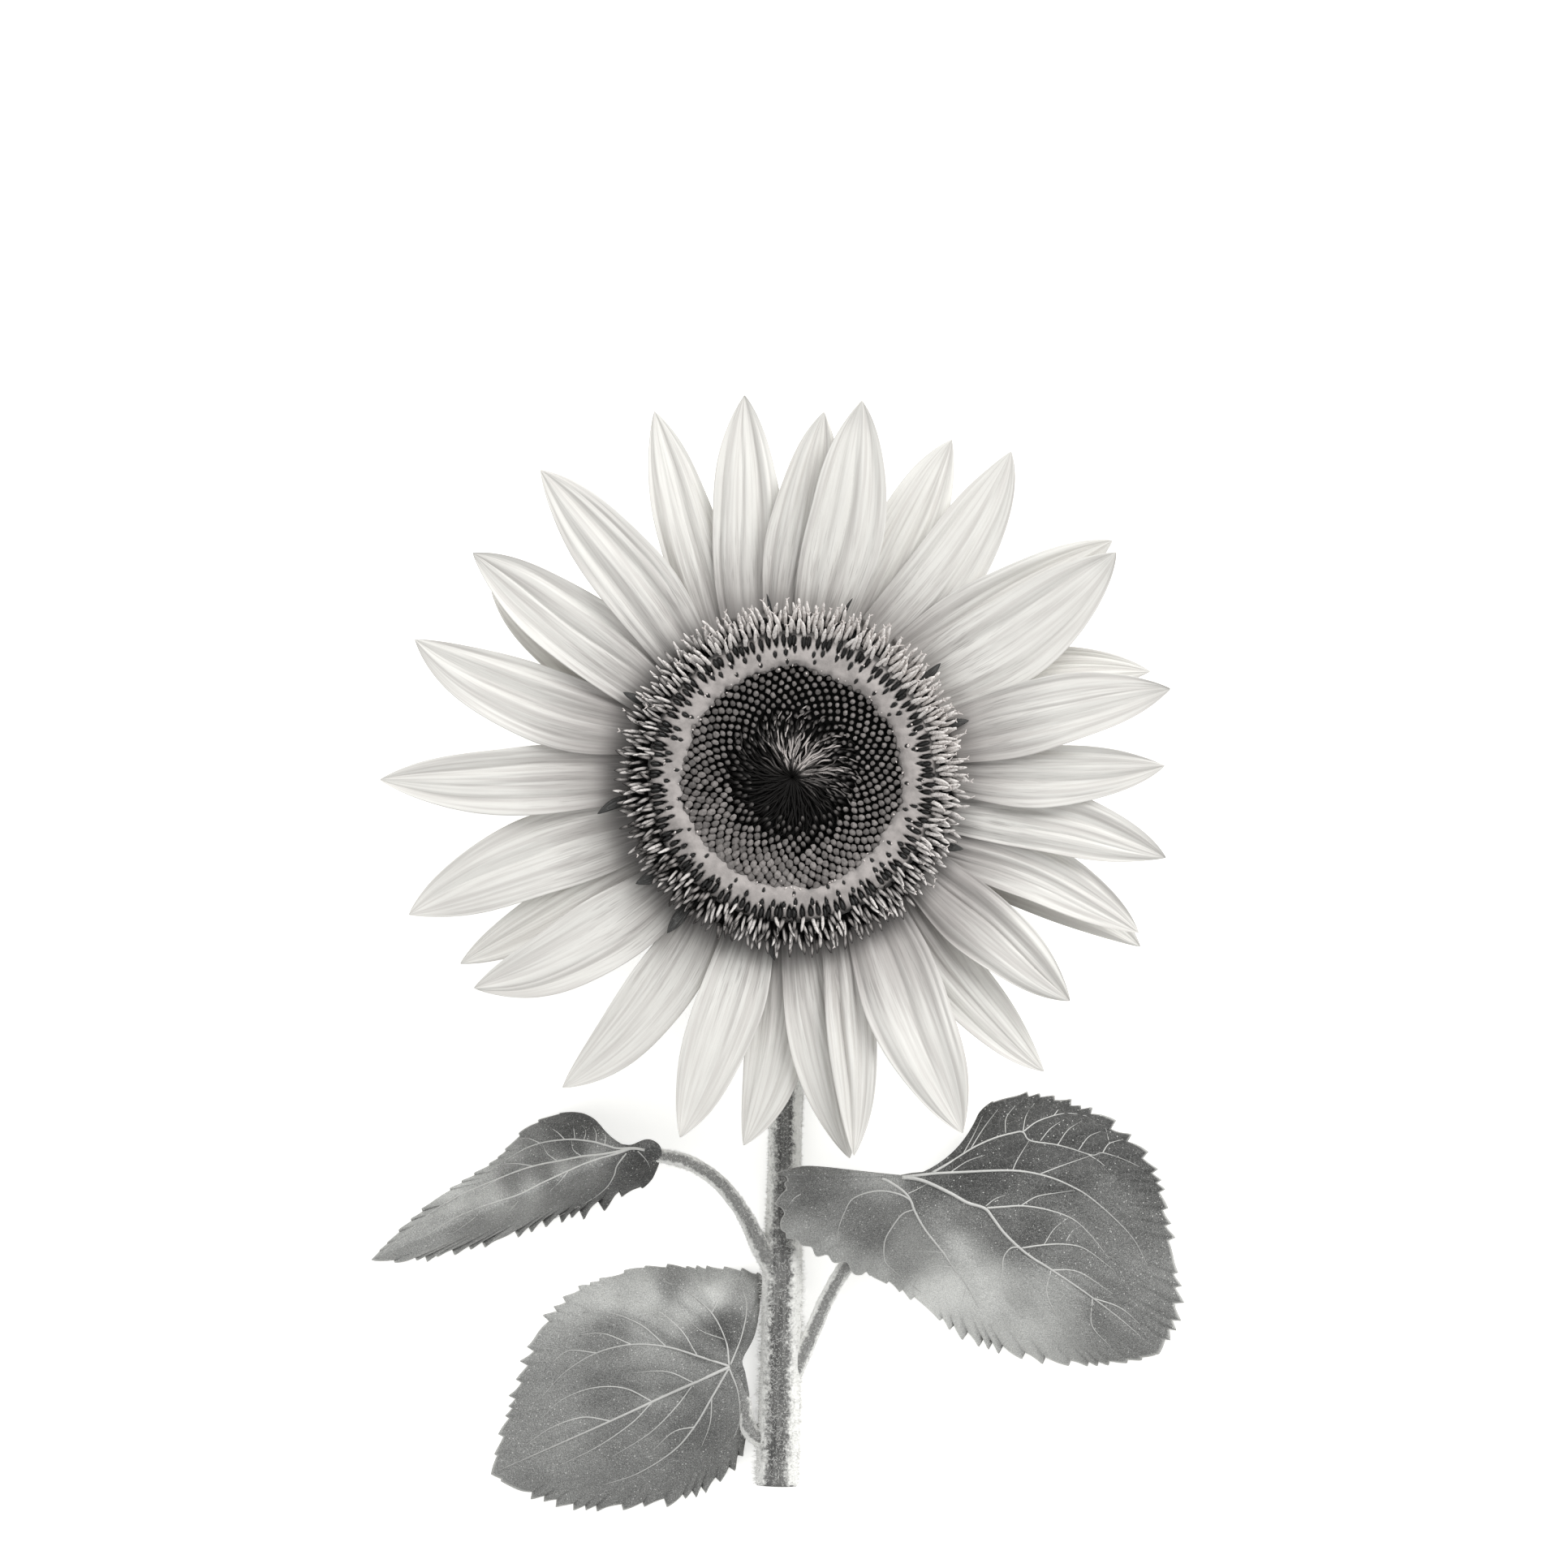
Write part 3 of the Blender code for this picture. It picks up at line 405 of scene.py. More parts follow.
def piece(name, points, faces, finish, slot, nodes=(), **marks):
    """A smooth piece from points in millimetres round the head's axis.

    Marks are numbers kept at its points for its finish. One that is the same along an axis is spread
    along it.
    """
    mesh = bpy.data.meshes.new(name)
    mesh.from_pydata((HEAD + np.asarray(points, float).reshape(-1, 3) * MM).tolist(), [], faces)
    for mark, values in marks.items():
        values = np.broadcast_to(np.asarray(values, np.float32), np.shape(points)[:-1])
        mesh.attributes.new(mark, "FLOAT", "POINT").data.foreach_set("value", values.ravel())
    mesh.shade_smooth()
    mesh.materials.append(finish)
    made = bpy.data.objects.new(name, mesh)
    bpy.context.scene.collection.objects.link(made)
    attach(made, "root")
    if nodes:
        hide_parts(*nodes)


def rods(axes, radii, across, sides=6, squareness=0.0):
    """Points and faces of closed rods: axes (rods, rings, 3), radii (rods, rings), across (rods, 3)."""
    along = unit(np.gradient(axes, axis=1))
    across = np.broadcast_to(np.asarray(across, float)[:, None], axes.shape)
    across = unit(across - along * (across * along).sum(2, keepdims=True))
    other = np.cross(along, across)
    angle = (np.arange(sides) + 0.5) * 2 * math.pi / sides
    cosine, sine = np.cos(angle), np.sin(angle)
    power = 2 + 4 * squareness
    reach = (np.abs(cosine) ** power + np.abs(sine) ** power) ** (-1 / power)
    ring = across[:, :, None] * (cosine * reach)[:, None] + other[:, :, None] * (sine * reach)[:, None]
    points = axes[:, :, None] + ring * radii[:, :, None, None]
    index = np.arange(points.size // 3).reshape(points.shape[:3])
    ahead = np.roll(index, -1, axis=2)
    walls = np.stack([index[:, :-1], ahead[:, :-1], ahead[:, 1:], index[:, 1:]], -1).reshape(-1, 4)
    ends = np.concatenate([index[:, -1], index[:, 0, ::-1]])
    return points, walls.tolist() + ends.tolist()


def sheet(grid, thickness, ring=False):
    """Points and faces of a thin solid round a grid of points. A ring joins its last column to its first."""
    along = np.gradient(grid, axis=0)
    across = np.roll(grid, -1, 1) - np.roll(grid, 1, 1) if ring else np.gradient(grid, axis=1)
    offset = unit(np.cross(along, across)) * (np.asarray(thickness) / 2)[..., None]
    points = np.stack([grid + offset, grid - offset])
    top, bottom = np.arange(points.size // 3).reshape(points.shape[:3])
    if ring:
        top, bottom = (np.concatenate([side, side[:, :1]], 1) for side in (top, bottom))
    faces = [np.stack([s[:-1, :-1], s[1:, :-1], s[1:, 1:], s[:-1, 1:]], -1).reshape(-1, 4)
        for s in (top, bottom)]
    faces[1] = faces[1][:, ::-1]
    rims = [(top[-1], bottom[-1])] if ring else [
        (top[-1], bottom[-1]), (top[0, ::-1], bottom[0, ::-1]), (top[:, 0], bottom[:, 0]),
        (top[::-1, -1], bottom[::-1, -1]),
    ]
    for upper, lower in rims:
        faces.append(np.stack([upper[:-1], lower[:-1], lower[1:], upper[1:]], -1))
    faces = np.concatenate(faces).tolist()
    if ring:
        faces += [top[0, :-1].tolist(), bottom[0, -2::-1].tolist()]
    return points, faces


def turned(outline, steps, rings, wobble=None):
    """Points and faces of a surface turned round the head's axis from a (radius, height) outline."""
    line = smooth_line(outline, rings)
    angle = np.linspace(0, 2 * math.pi, steps, endpoint=False)
    radius, height = line[:, :1] + 0 * angle, line[:, 1:2] + 0 * angle
    if wobble:
        radius, height = wobble(radius, height, angle)
    points = np.stack([radius * np.cos(angle), radius * np.sin(angle), height], -1)
    index = np.arange(rings * steps).reshape(rings, steps)
    index = np.concatenate([index, index[:, :1]], 1)
    faces = np.stack([index[:-1, :-1], index[1:, :-1], index[1:, 1:], index[:-1, 1:]], -1)
    return points, faces.reshape(-1, 4)


def out_and_aside(angle):
    """Unit vectors out from the head's axis and anticlockwise round it, at each angle."""
    outward = np.stack([np.cos(angle), np.sin(angle), 0 * angle], -1)
    return outward, np.stack([-outward[:, 1], outward[:, 0], 0 * angle], -1)


def spiral(first, last, spacing, gather=0.5):
    """Radius and angle of florets set out by the golden angle; a gather over 0.5 packs the middle closer."""
    count = int(math.pi * last**2 / (0.866 * spacing**2))
    order = np.arange(count) + 0.5
    radius, angle = last * (order / count) ** gather, order * GOLDEN_ANGLE
    keep = radius >= first
    return radius[keep], angle[keep]


def height_at(outline, radius):
    """Height of a (radius, height) outline at each radius."""
    radii, heights = zip(*outline)
    return np.interp(radius, radii, heights)


def nearest(points, marks):
    """How far each point lies from the nearest mark, both in the plane."""
    tree = KDTree(len(marks))
    for index, (x, y) in enumerate(marks):
        tree.insert((x, y, 0), index)
    tree.balance()
    return np.array([tree.find((x, y, 0))[2] for x, y in points.reshape(-1, 2)]).reshape(points.shape[:-1])


def hairs(name, roots, normals, lengths, thickness, finish, slot, seed):
    """Fine tapered hairs that stand out from roots along normals, each leaning and bent its own way."""
    dice = np.random.default_rng(seed)
    heading = unit(normals + dice.normal(0, 0.35, normals.shape))
    bend = unit(np.cross(heading, dice.normal(0, 1, normals.shape)))
    reach = np.array((-0.1, 0.45, 1.0))[None, :, None] * lengths[:, None, None]
    axes = (
        roots[:, None] + heading[:, None] * reach
        + bend[:, None] * 0.35 * reach**2 / lengths[:, None, None]
    )
    radii = np.array((1.0, 0.7, 0.12)) * thickness * dice.uniform(0.8, 1.2, (len(roots), 1))
    points, faces = rods(axes, radii, np.cross(heading, bend), 3)
    piece(name, points, faces, finish, slot)


# -------------------------------------------------------------------------------------------------- finishes
class Finish:
    """A procedural material being put together: calling it adds a node, links sockets and sets the rest."""

    def __init__(self, name):
        self.material = bpy.data.materials.new(name)
        self.material.use_nodes = True
        self.tree = self.material.node_tree
        self.shader = self.tree.nodes["Principled BSDF"]
        self.object_place = None

    def __call__(self, kind, out=0, settings=None, **inputs):
        made = self.tree.nodes.new("ShaderNode" + kind)
        for key, value in (settings or {}).items():
            setattr(made, key, value)
        for key, value in inputs.items():
            self.put(made.inputs[int(key[1:]) if key[1:].isdigit() else key.replace("_", " ")], value)
        return made.outputs[out]

    def put(self, socket, value):
        if isinstance(value, bpy.types.NodeSocket):
            self.tree.links.new(value, socket)
        else:
            socket.default_value = value

    def mark(self, name):
        """The marks that a piece was given under this name."""
        return self("Attribute", out="Fac", settings={"attribute_name": name})

    def place(self):
        if self.object_place is None:
            self.object_place = self("TexCoord", out="Object")
        return self.object_place

    def maths(self, operation, a, b=0.5):
        return self("Math", settings={"operation": operation}, i0=a, i1=b)

    def ranged(self, value, low, high, to_low=0.0, to_high=1.0):
        """Eases from to_low to to_high as the value goes from low to high."""
        settings = {"interpolation_type": "SMOOTHSTEP"}
        return self("MapRange", settings=settings, i0=value, i1=low, i2=high, i3=to_low, i4=to_high)

    def blend(self, factor, a, b):
        return self("Mix", out=2, settings={"data_type": "RGBA"}, i0=factor, i6=a, i7=b)

    def noise(self, scale, detail=3.0, vector=None, roughness=0.55):
        return self("TexNoise", Vector=vector or self.place(), Scale=scale, Detail=detail,
            Roughness=roughness)

    def bump(self, height, distance, strength=1.0, normal=None):
        inputs = {"Height": height, "Distance": distance, "Strength": strength}
        if normal is not None:
            inputs["Normal"] = normal
        return self("Bump", **inputs)

    def done(self, colour, roughness, normal=None, **uniform):
        """The finished material, with any other inputs of its shader given by name."""
        self.put(self.shader.inputs["Base Color"], colour)
        self.put(self.shader.inputs["Roughness"], roughness)
        if normal is not None:
            self.put(self.shader.inputs["Normal"], normal)
        for key, value in uniform.items():
            self.shader.inputs[key.replace("_", " ")].default_value = value
        return self.material


def grey(value, red=0.0, blue=0.965):
    """A linear grey with a little more red and a little less blue."""
    return (value * (1 + red), value, value * blue, 1.0)


def petal_tint(value):
    return grey(value, 0.012, 0.95)


def floret_tint(value):
    return grey(value, 0.08, 0.96)


def finish(name):
    """The named finish, made once."""
    found = bpy.data.materials.get(name)
    return found or FINISHES[name](Finish(name))


def petal_skin(f):
    """Off-white petal: fine lengthwise veins and streaks, with painted shade and shadow towards the disc."""
    colours = bpy.context.scene.sunflower_petals
    across, along, tone = f.mark("across"), f.mark("along"), f.mark("tone")
    veins = f("CombineXYZ", X=f.maths("MULTIPLY", across, 6.0), Y=f.maths("MULTIPLY", along, 1.3), Z=tone)
    streaks = f.noise(1.5, 2.0, veins, 0.5)
    fine = f.noise(5.0, 2.0, veins, 0.5)
    mottle = f.noise(90.0, 3.0)
    colour = f.blend(f.ranged(streaks, 0.34, 0.60), colours.shade_colour, colours.colour)
    colour = f.blend(f.ranged(fine, 0.28, 0.42, 0.35, 0.0), colour, colours.shade_colour)
    colour = f.blend(f.ranged(mottle, 0.35, 0.7, 0.20, 0.0), colour, colours.shade_colour)
    # Painted shade: the foot of each petal greys towards the disc, more where its foot shade is greater.
    foot = f.maths("SUBTRACT", f.maths("ADD", along, f.maths("MULTIPLY", streaks, 0.20)),
        f.maths("MULTIPLY", f.mark("foot_shade"), 0.16))
    colour = f.blend(f.ranged(foot, 0.0, 0.54, 0.95, 0.0), colour, colours.base_shade_colour)
    shadow = f.maths("MULTIPLY", f.mark("shadow"),
        f.ranged(f.maths("ADD", along, f.maths("MULTIPLY", streaks, 0.05)), 0.06, 0.19, 1.0, 0.0))
    colour = f.blend(shadow, colour, grey(0.05, 0.05, 0.955))
    lines = f.maths("MULTIPLY", f.ranged(fine, 0.36, 0.47, 1.0, 0.0),
        f.ranged(along, 0.05, 0.60, 0.55, 0.0))
    colour = f.blend(lines, colour, grey(0.24, 0.07, 0.955))
    height = f.maths("ADD", streaks, f.maths("MULTIPLY", fine, 0.25))
    normal = f.bump(height, 0.0004, 0.45)
    roughness = f.ranged(streaks, 0.3, 0.7, 0.62, 0.50)
    return f.done(colour, roughness, normal, Sheen_Weight=0.15)


def centre_cap(f):
    """Near-black floret, greyer where it is marked pale: its top, and a little more as painted light on the
    lower right.
    """
    colours = bpy.context.scene.sunflower_disc
    pale, speckle = f.mark("pale"), f.noise(1400.0, 2.0)
    grey_share = f.ranged(f.maths("MULTIPLY", pale, f.maths("ADD", speckle, 0.5)), 0.0, 1.30)
    colour = f.blend(grey_share, colours.dark_colour, colours.cap_colour)
    return f.done(colour, f.ranged(speckle, 0.3, 0.7, 0.40, 0.62), f.bump(speckle, 0.00025, 0.5),
        Specular_IOR_Level=0.14)


def centre_strand(f):
    """Near-black strand, with a painted silvery highlight where it is marked pale."""
    colours = bpy.context.scene.sunflower_disc
    pale, speckle = f.mark("pale"), f.noise(1100.0, 2.0)
    grey_share = f.ranged(f.maths("MULTIPLY", pale, f.maths("ADD", speckle, 0.5)), 0.03, 1.05)
    colour = f.blend(grey_share, colours.dark_colour, floret_tint(0.52))
    return f.done(colour, f.ranged(speckle, 0.3, 0.7, 0.42, 0.60), f.bump(speckle, 0.0002, 0.5),
        Specular_IOR_Level=0.07)


def bed_dark(f):
    """The dark bed between the florets, greyer down its outer wall."""
    lumps, ribs = f.noise(700.0, 3.0), f.noise(420.0, 2.0)
    wall = f.blend(f.ranged(ribs, 0.35, 0.65), floret_tint(0.05), floret_tint(0.16))
    return f.done(f.blend(f.mark("wall"), f.blend(lumps, grey(0.003), grey(0.012)), wall), 0.8,
        f.bump(lumps, 0.0005, 0.8), Specular_IOR_Level=0.08)


def band_felt(f):
    """Pale, dust-covered felt of the opening florets, with painted shade in its sockets and under the open
    florets.
    """
    colours = bpy.context.scene.sunflower_disc
    cloud, grain = f.noise(260.0, 4.0), f.noise(2600.0, 2.0)
    low = f.mark("low")
    colour = f.blend(f.ranged(cloud, 0.32, 0.68), colours.band_shade, colours.band_colour)
    colour = f.blend(f.ranged(grain, 0.52, 0.70, 0.0, 0.12), colour, floret_tint(0.55))
    # Painted shade: the felt darkens where it is marked low, in its sockets and under the open florets.
    colour = f.blend(f.maths("MULTIPLY", low, 0.85), colour, grey(0.03))
    normal = f.bump(grain, 0.00012, 0.4, f.bump(cloud, 0.0006, 0.6))
    return f.done(colour, 0.92, normal, Sheen_Weight=0.3)


def bud_dark(f):
    """Glossy dark bud tips."""
    grain = f.noise(900.0, 2.0)
    return f.done(f.blend(grain, grey(0.005), grey(0.02)), f.ranged(grain, 0.3, 0.7, 0.26, 0.44),
        Specular_IOR_Level=0.25)


def open_tube(f):
    """Open floret: dark tube with a pale dust-covered upper part, and painted light and shade by its side of
    the ring.
    """
    colours = bpy.context.scene.sunflower_disc
    along, tone, seam = f.mark("along"), f.mark("tone"), f.mark("seam")
    dust = f.noise(1500.0, 3.0)
    # The tone mark is painted light with some dust at random: low tone greys the pale part and darkens the
    # tips as painted shade.
    edge = f.maths("ADD", along, f.maths("MULTIPLY", f.maths("SUBTRACT", tone, dust), 0.42))
    pale = f.blend(f.ranged(dust, 0.30, 0.55), floret_tint(0.42), colours.tube_colour)
    pale = f.blend(f.ranged(tone, -0.2, 0.8, 0.95, 0.0), pale, floret_tint(0.22))
    colour = f.blend(f.ranged(edge, 0.18, 0.46), colours.dark_colour, pale)
    # Painted shade down one side of each rod, most on the far side of the ring from the light.
    colour = f.blend(f.ranged(seam, 0.25, 0.80, 0.96, 0.0), colour, colours.dark_colour)
    shade = f.ranged(f.maths("ADD", along, f.maths("MULTIPLY", tone, -0.3)), 0.72, 0.95, 0.0, 0.8)
    colour = f.blend(shade, colour, colours.dark_colour)
    return f.done(colour, 0.75, f.bump(dust, 0.0003, 0.7), Specular_IOR_Level=0.08)


def pollen_dust(f):
    """Pale pollen and stigma tips."""
    grain = f.noise(1800.0, 2.0)
    return f.done(f.blend(grain, floret_tint(0.45), floret_tint(0.76)), 0.8, f.bump(grain, 0.0002, 0.6))


def bract_skin(f):
    """Dark bract with long pale veins and a paler margin."""
    across, along = f.mark("across"), f.mark("along")
    veins = f("CombineXYZ", X=f.maths("MULTIPLY", across, 9.0), Y=f.maths("MULTIPLY", along, 1.2),
        Z=f.mark("tone"))
    streak, cloud, grain = f.noise(2.4, 3.0, veins), f.noise(220.0, 4.0), f.noise(1900.0, 2.0)
    colour = f.blend(f.ranged(cloud, 0.3, 0.7), grey(0.17), grey(0.10))
    colour = f.blend(f.ranged(streak, 0.52, 0.68, 0.0, 0.45), colour, grey(0.26))
    margin = f.ranged(f.maths("ABSOLUTE", across), 0.86, 1.0, 0.0, 0.6)
    colour = f.blend(margin, colour, grey(0.34))
    colour = f.blend(f.ranged(grain, 0.62, 0.72, 0.0, 0.5), colour, grey(0.40))
    return f.done(colour, 0.62, f.bump(streak, 0.0006, 0.6, f.bump(grain, 0.0002, 0.5)), Sheen_Weight=0.1)


def scale_dark(f):
    """Dark smooth tip of a scale, faintly streaked."""
    across, along = f.mark("across"), f.mark("along")
    veins = f("CombineXYZ", X=f.maths("MULTIPLY", across, 5.0), Y=f.maths("MULTIPLY", along, 1.2),
        Z=f.mark("tone"))
    streak, grain = f.noise(2.0, 3.0, veins), f.noise(1600.0, 2.0)
    colour = f.blend(f.ranged(streak, 0.35, 0.65), grey(0.018), grey(0.075))
    colour = f.blend(f.ranged(grain, 0.58, 0.70, 0.0, 0.3), colour, grey(0.20))
    return f.done(colour, 0.55, f.bump(streak, 0.0004, 0.5), Specular_IOR_Level=0.3)


def stem_skin(f):
    """Stem and leaf-stalk skin: lengthwise streaks under a pale fuzz, and a painted sheen along the flanks.
    """
    colours = bpy.context.scene.sunflower_stem
    round_, along, flank, downy = f.mark("round"), f.mark("along"), f.mark("flank"), f.mark("downy")
    stripes = f("CombineXYZ", X=f.maths("MULTIPLY", round_, 26.0), Y=f.maths("MULTIPLY", along, 9.0), Z=0.0)
    streak, cloud, fuzz = f.noise(1.0, 4.0, stripes), f.noise(150.0, 5.0), f.noise(1300.0, 3.0)
    colour = f.blend(f.ranged(streak, 0.35, 0.65), colours.shade_colour, colours.colour)
    colour = f.blend(f.ranged(cloud, 0.45, 0.7, 0.0, 0.5), colour, grey(0.20))
    colour = f.blend(f.maths("MULTIPLY", downy, f.ranged(fuzz, 0.25, 0.65, 0.6, 1.0)), colour, grey(0.26))
    colour = f.blend(f.ranged(fuzz, 0.52, 0.68, 0.0, 0.7), colour, colours.fuzz_colour)
    # Painted sheen: the flanks, one more than the other, are lightened towards pale grey, broken up by the
    # fuzz.
    mixed = f.maths("ADD", f.maths("MULTIPLY", fuzz, 0.7), f.maths("MULTIPLY", f.noise(420.0, 4.0), 0.9))
    fuzz_and_sheen = f.maths("ADD", flank, f.maths("SUBTRACT", mixed, 0.8))
    fuzz_and_sheen = f.maths("SUBTRACT", fuzz_and_sheen, f.maths("MULTIPLY", downy, 0.12))
    colour = f.blend(f.ranged(fuzz_and_sheen, 0.28, 0.80, 0.0, 0.96), colour, grey(0.86))
    normal = f.bump(streak, 0.0012, 0.5, f.bump(fuzz, 0.0004, 0.8))
    return f.done(colour, 0.7, normal, Sheen_Weight=1.0, Sheen_Roughness=0.4)


def cut_pith(f):
    """The cut end: pale spongy pith inside a darker rim."""
    sponge, rings = f.noise(1500.0, 4.0), f.mark("along")
    colour = f.blend(f.ranged(sponge, 0.35, 0.65), grey(0.42), grey(0.66))
    colour = f.blend(f.ranged(rings, 0.72, 0.86), colour, grey(0.14))
    return f.done(colour, 0.85, f.bump(sponge, 0.0005, 0.9))


def hair_pale(f):
    """Short pale hairs."""
    tint = f.noise(300.0, 2.0)
    return f.done(f.blend(tint, grey(0.72), grey(0.90)), 0.5, Sheen_Weight=0.5)


def leaf_skin(f):
    """Leaf: finely grained and dotted, with painted light and shade, a faint net of small veins and a rim."""
    colours = bpy.context.scene.sunflower_leaves
    pale, rim, under = f.mark("pale"), f.mark("rim"), f.mark("under")
    cloud, grain = f.noise(75.0, 5.0), f.noise(1300.0, 3.0)
    shift = f("TexNoise", out="Color", Vector=f.place(), Scale=260.0)
    warp = f("VectorMath", settings={"operation": "SCALE"}, i0=shift, Scale=0.004)
    bent = f("VectorMath", settings={"operation": "ADD"}, i0=f.place(), i1=warp)
    net = f("TexVoronoi", settings={"feature": "DISTANCE_TO_EDGE"}, Vector=bent, Scale=360.0)
    small = f("TexVoronoi", settings={"feature": "DISTANCE_TO_EDGE"}, Vector=bent, Scale=1100.0)
    dots = f("TexVoronoi", Vector=f.place(), Scale=620.0)
    salt = f.noise(3600.0, 2.0)
    # Painted light and shade: the pale mark lightens the blade where light would fall on it and leaves the
    # rest dark.
    uneven = f.maths("ADD", pale, f.maths("MULTIPLY", f.maths("SUBTRACT", cloud, 0.5), 0.20))
    uneven = f.maths("ADD", uneven, f.maths("MULTIPLY", f.maths("SUBTRACT", salt, 0.5), 0.85))
    curve = f.maths("POWER", f("MapRange", i0=uneven, i1=-0.05, i2=1.0, i3=0.0, i4=1.0), 1.7)
    colour = f.blend(curve, colours.shade_colour, colours.colour)
    colour = f.blend(f.ranged(grain, 0.45, 0.70, 0.0, 0.10), colour, grey(0.35))
    colour = f.blend(f.ranged(small, 0.0, 0.08, 0.05, 0.0), colour, colours.vein_colour)
    colour = f.blend(f.ranged(net, 0.0, 0.045, 0.10, 0.0), colour, colours.vein_colour)
    colour = f.blend(f.ranged(dots, 0.08, 0.14, 0.7, 0.0), colour, grey(0.66))
    colour = f.blend(f.ranged(salt, 0.64, 0.70, 0.0, 0.5), colour, grey(0.55))
    colour = f.blend(f.ranged(under, 0.4, 0.6, 0.0, 0.45), colour, grey(0.26))
    colour = f.blend(f.ranged(rim, 0.62, 1.0, 0.0, 0.75), colour, grey(0.60))
    height = f.maths("ADD", f.ranged(net, 0.0, 0.16), f.maths("MULTIPLY", f.ranged(small, 0.0, 0.2), 0.4))
    normal = f.bump(height, 0.00016, 0.5,
        f.bump(f.maths("ADD", grain, f.maths("MULTIPLY", salt, 0.5)), 0.0002, 0.7))
    return f.done(colour, f.ranged(grain, 0.3, 0.7, 0.50, 0.68), normal, Sheen_Weight=0.06,
        Specular_IOR_Level=0.35)


def vein_pale(f):
    """Pale raised vein, greyer as it thins out."""
    colours, along = bpy.context.scene.sunflower_leaves, f.mark("along")
    fuzz = f.noise(1100.0, 3.0)
    colour = f.blend(f.ranged(along, 0.3, 1.0, 0.0, 0.65), colours.vein_colour, grey(0.26))
    colour = f.blend(f.ranged(fuzz, 0.4, 0.7, 0.0, 0.4), colour, grey(0.62))
    return f.done(colour, 0.6, f.bump(fuzz, 0.0003, 0.6), Sheen_Weight=0.2)


def floor_paint(f):
    """Plain matt floor with a faint glow of its own."""
    colour = f.blend(f.noise(3.0), grey(0.93, 0.0), grey(0.95, 0.0))
    return f.done(colour, 0.9, Emission_Color=(1, 1, 1, 1), Emission_Strength=0.5)


FINISHES = {
    "petal_skin": petal_skin, "centre_cap": centre_cap, "centre_strand": centre_strand,
    "bed_dark": bed_dark, "band_felt": band_felt, "bud_dark": bud_dark, "open_tube": open_tube,
    "pollen_dust": pollen_dust, "bract_skin": bract_skin, "scale_dark": scale_dark,
    "stem_skin": stem_skin, "cut_pith": cut_pith, "hair_pale": hair_pale, "leaf_skin": leaf_skin,
    "vein_pale": vein_pale, "floor_paint": floor_paint,
}


# -------------------------------------------------------------------------------------------------- settings
def length_setting(name, millimetres, description):
    return FloatProperty(name=name, description=description, default=millimetres * MM, unit="LENGTH")


def colour_setting(name, value, description):
    return FloatVectorProperty(name=name, description=description, default=value, size=4, subtype="COLOR")


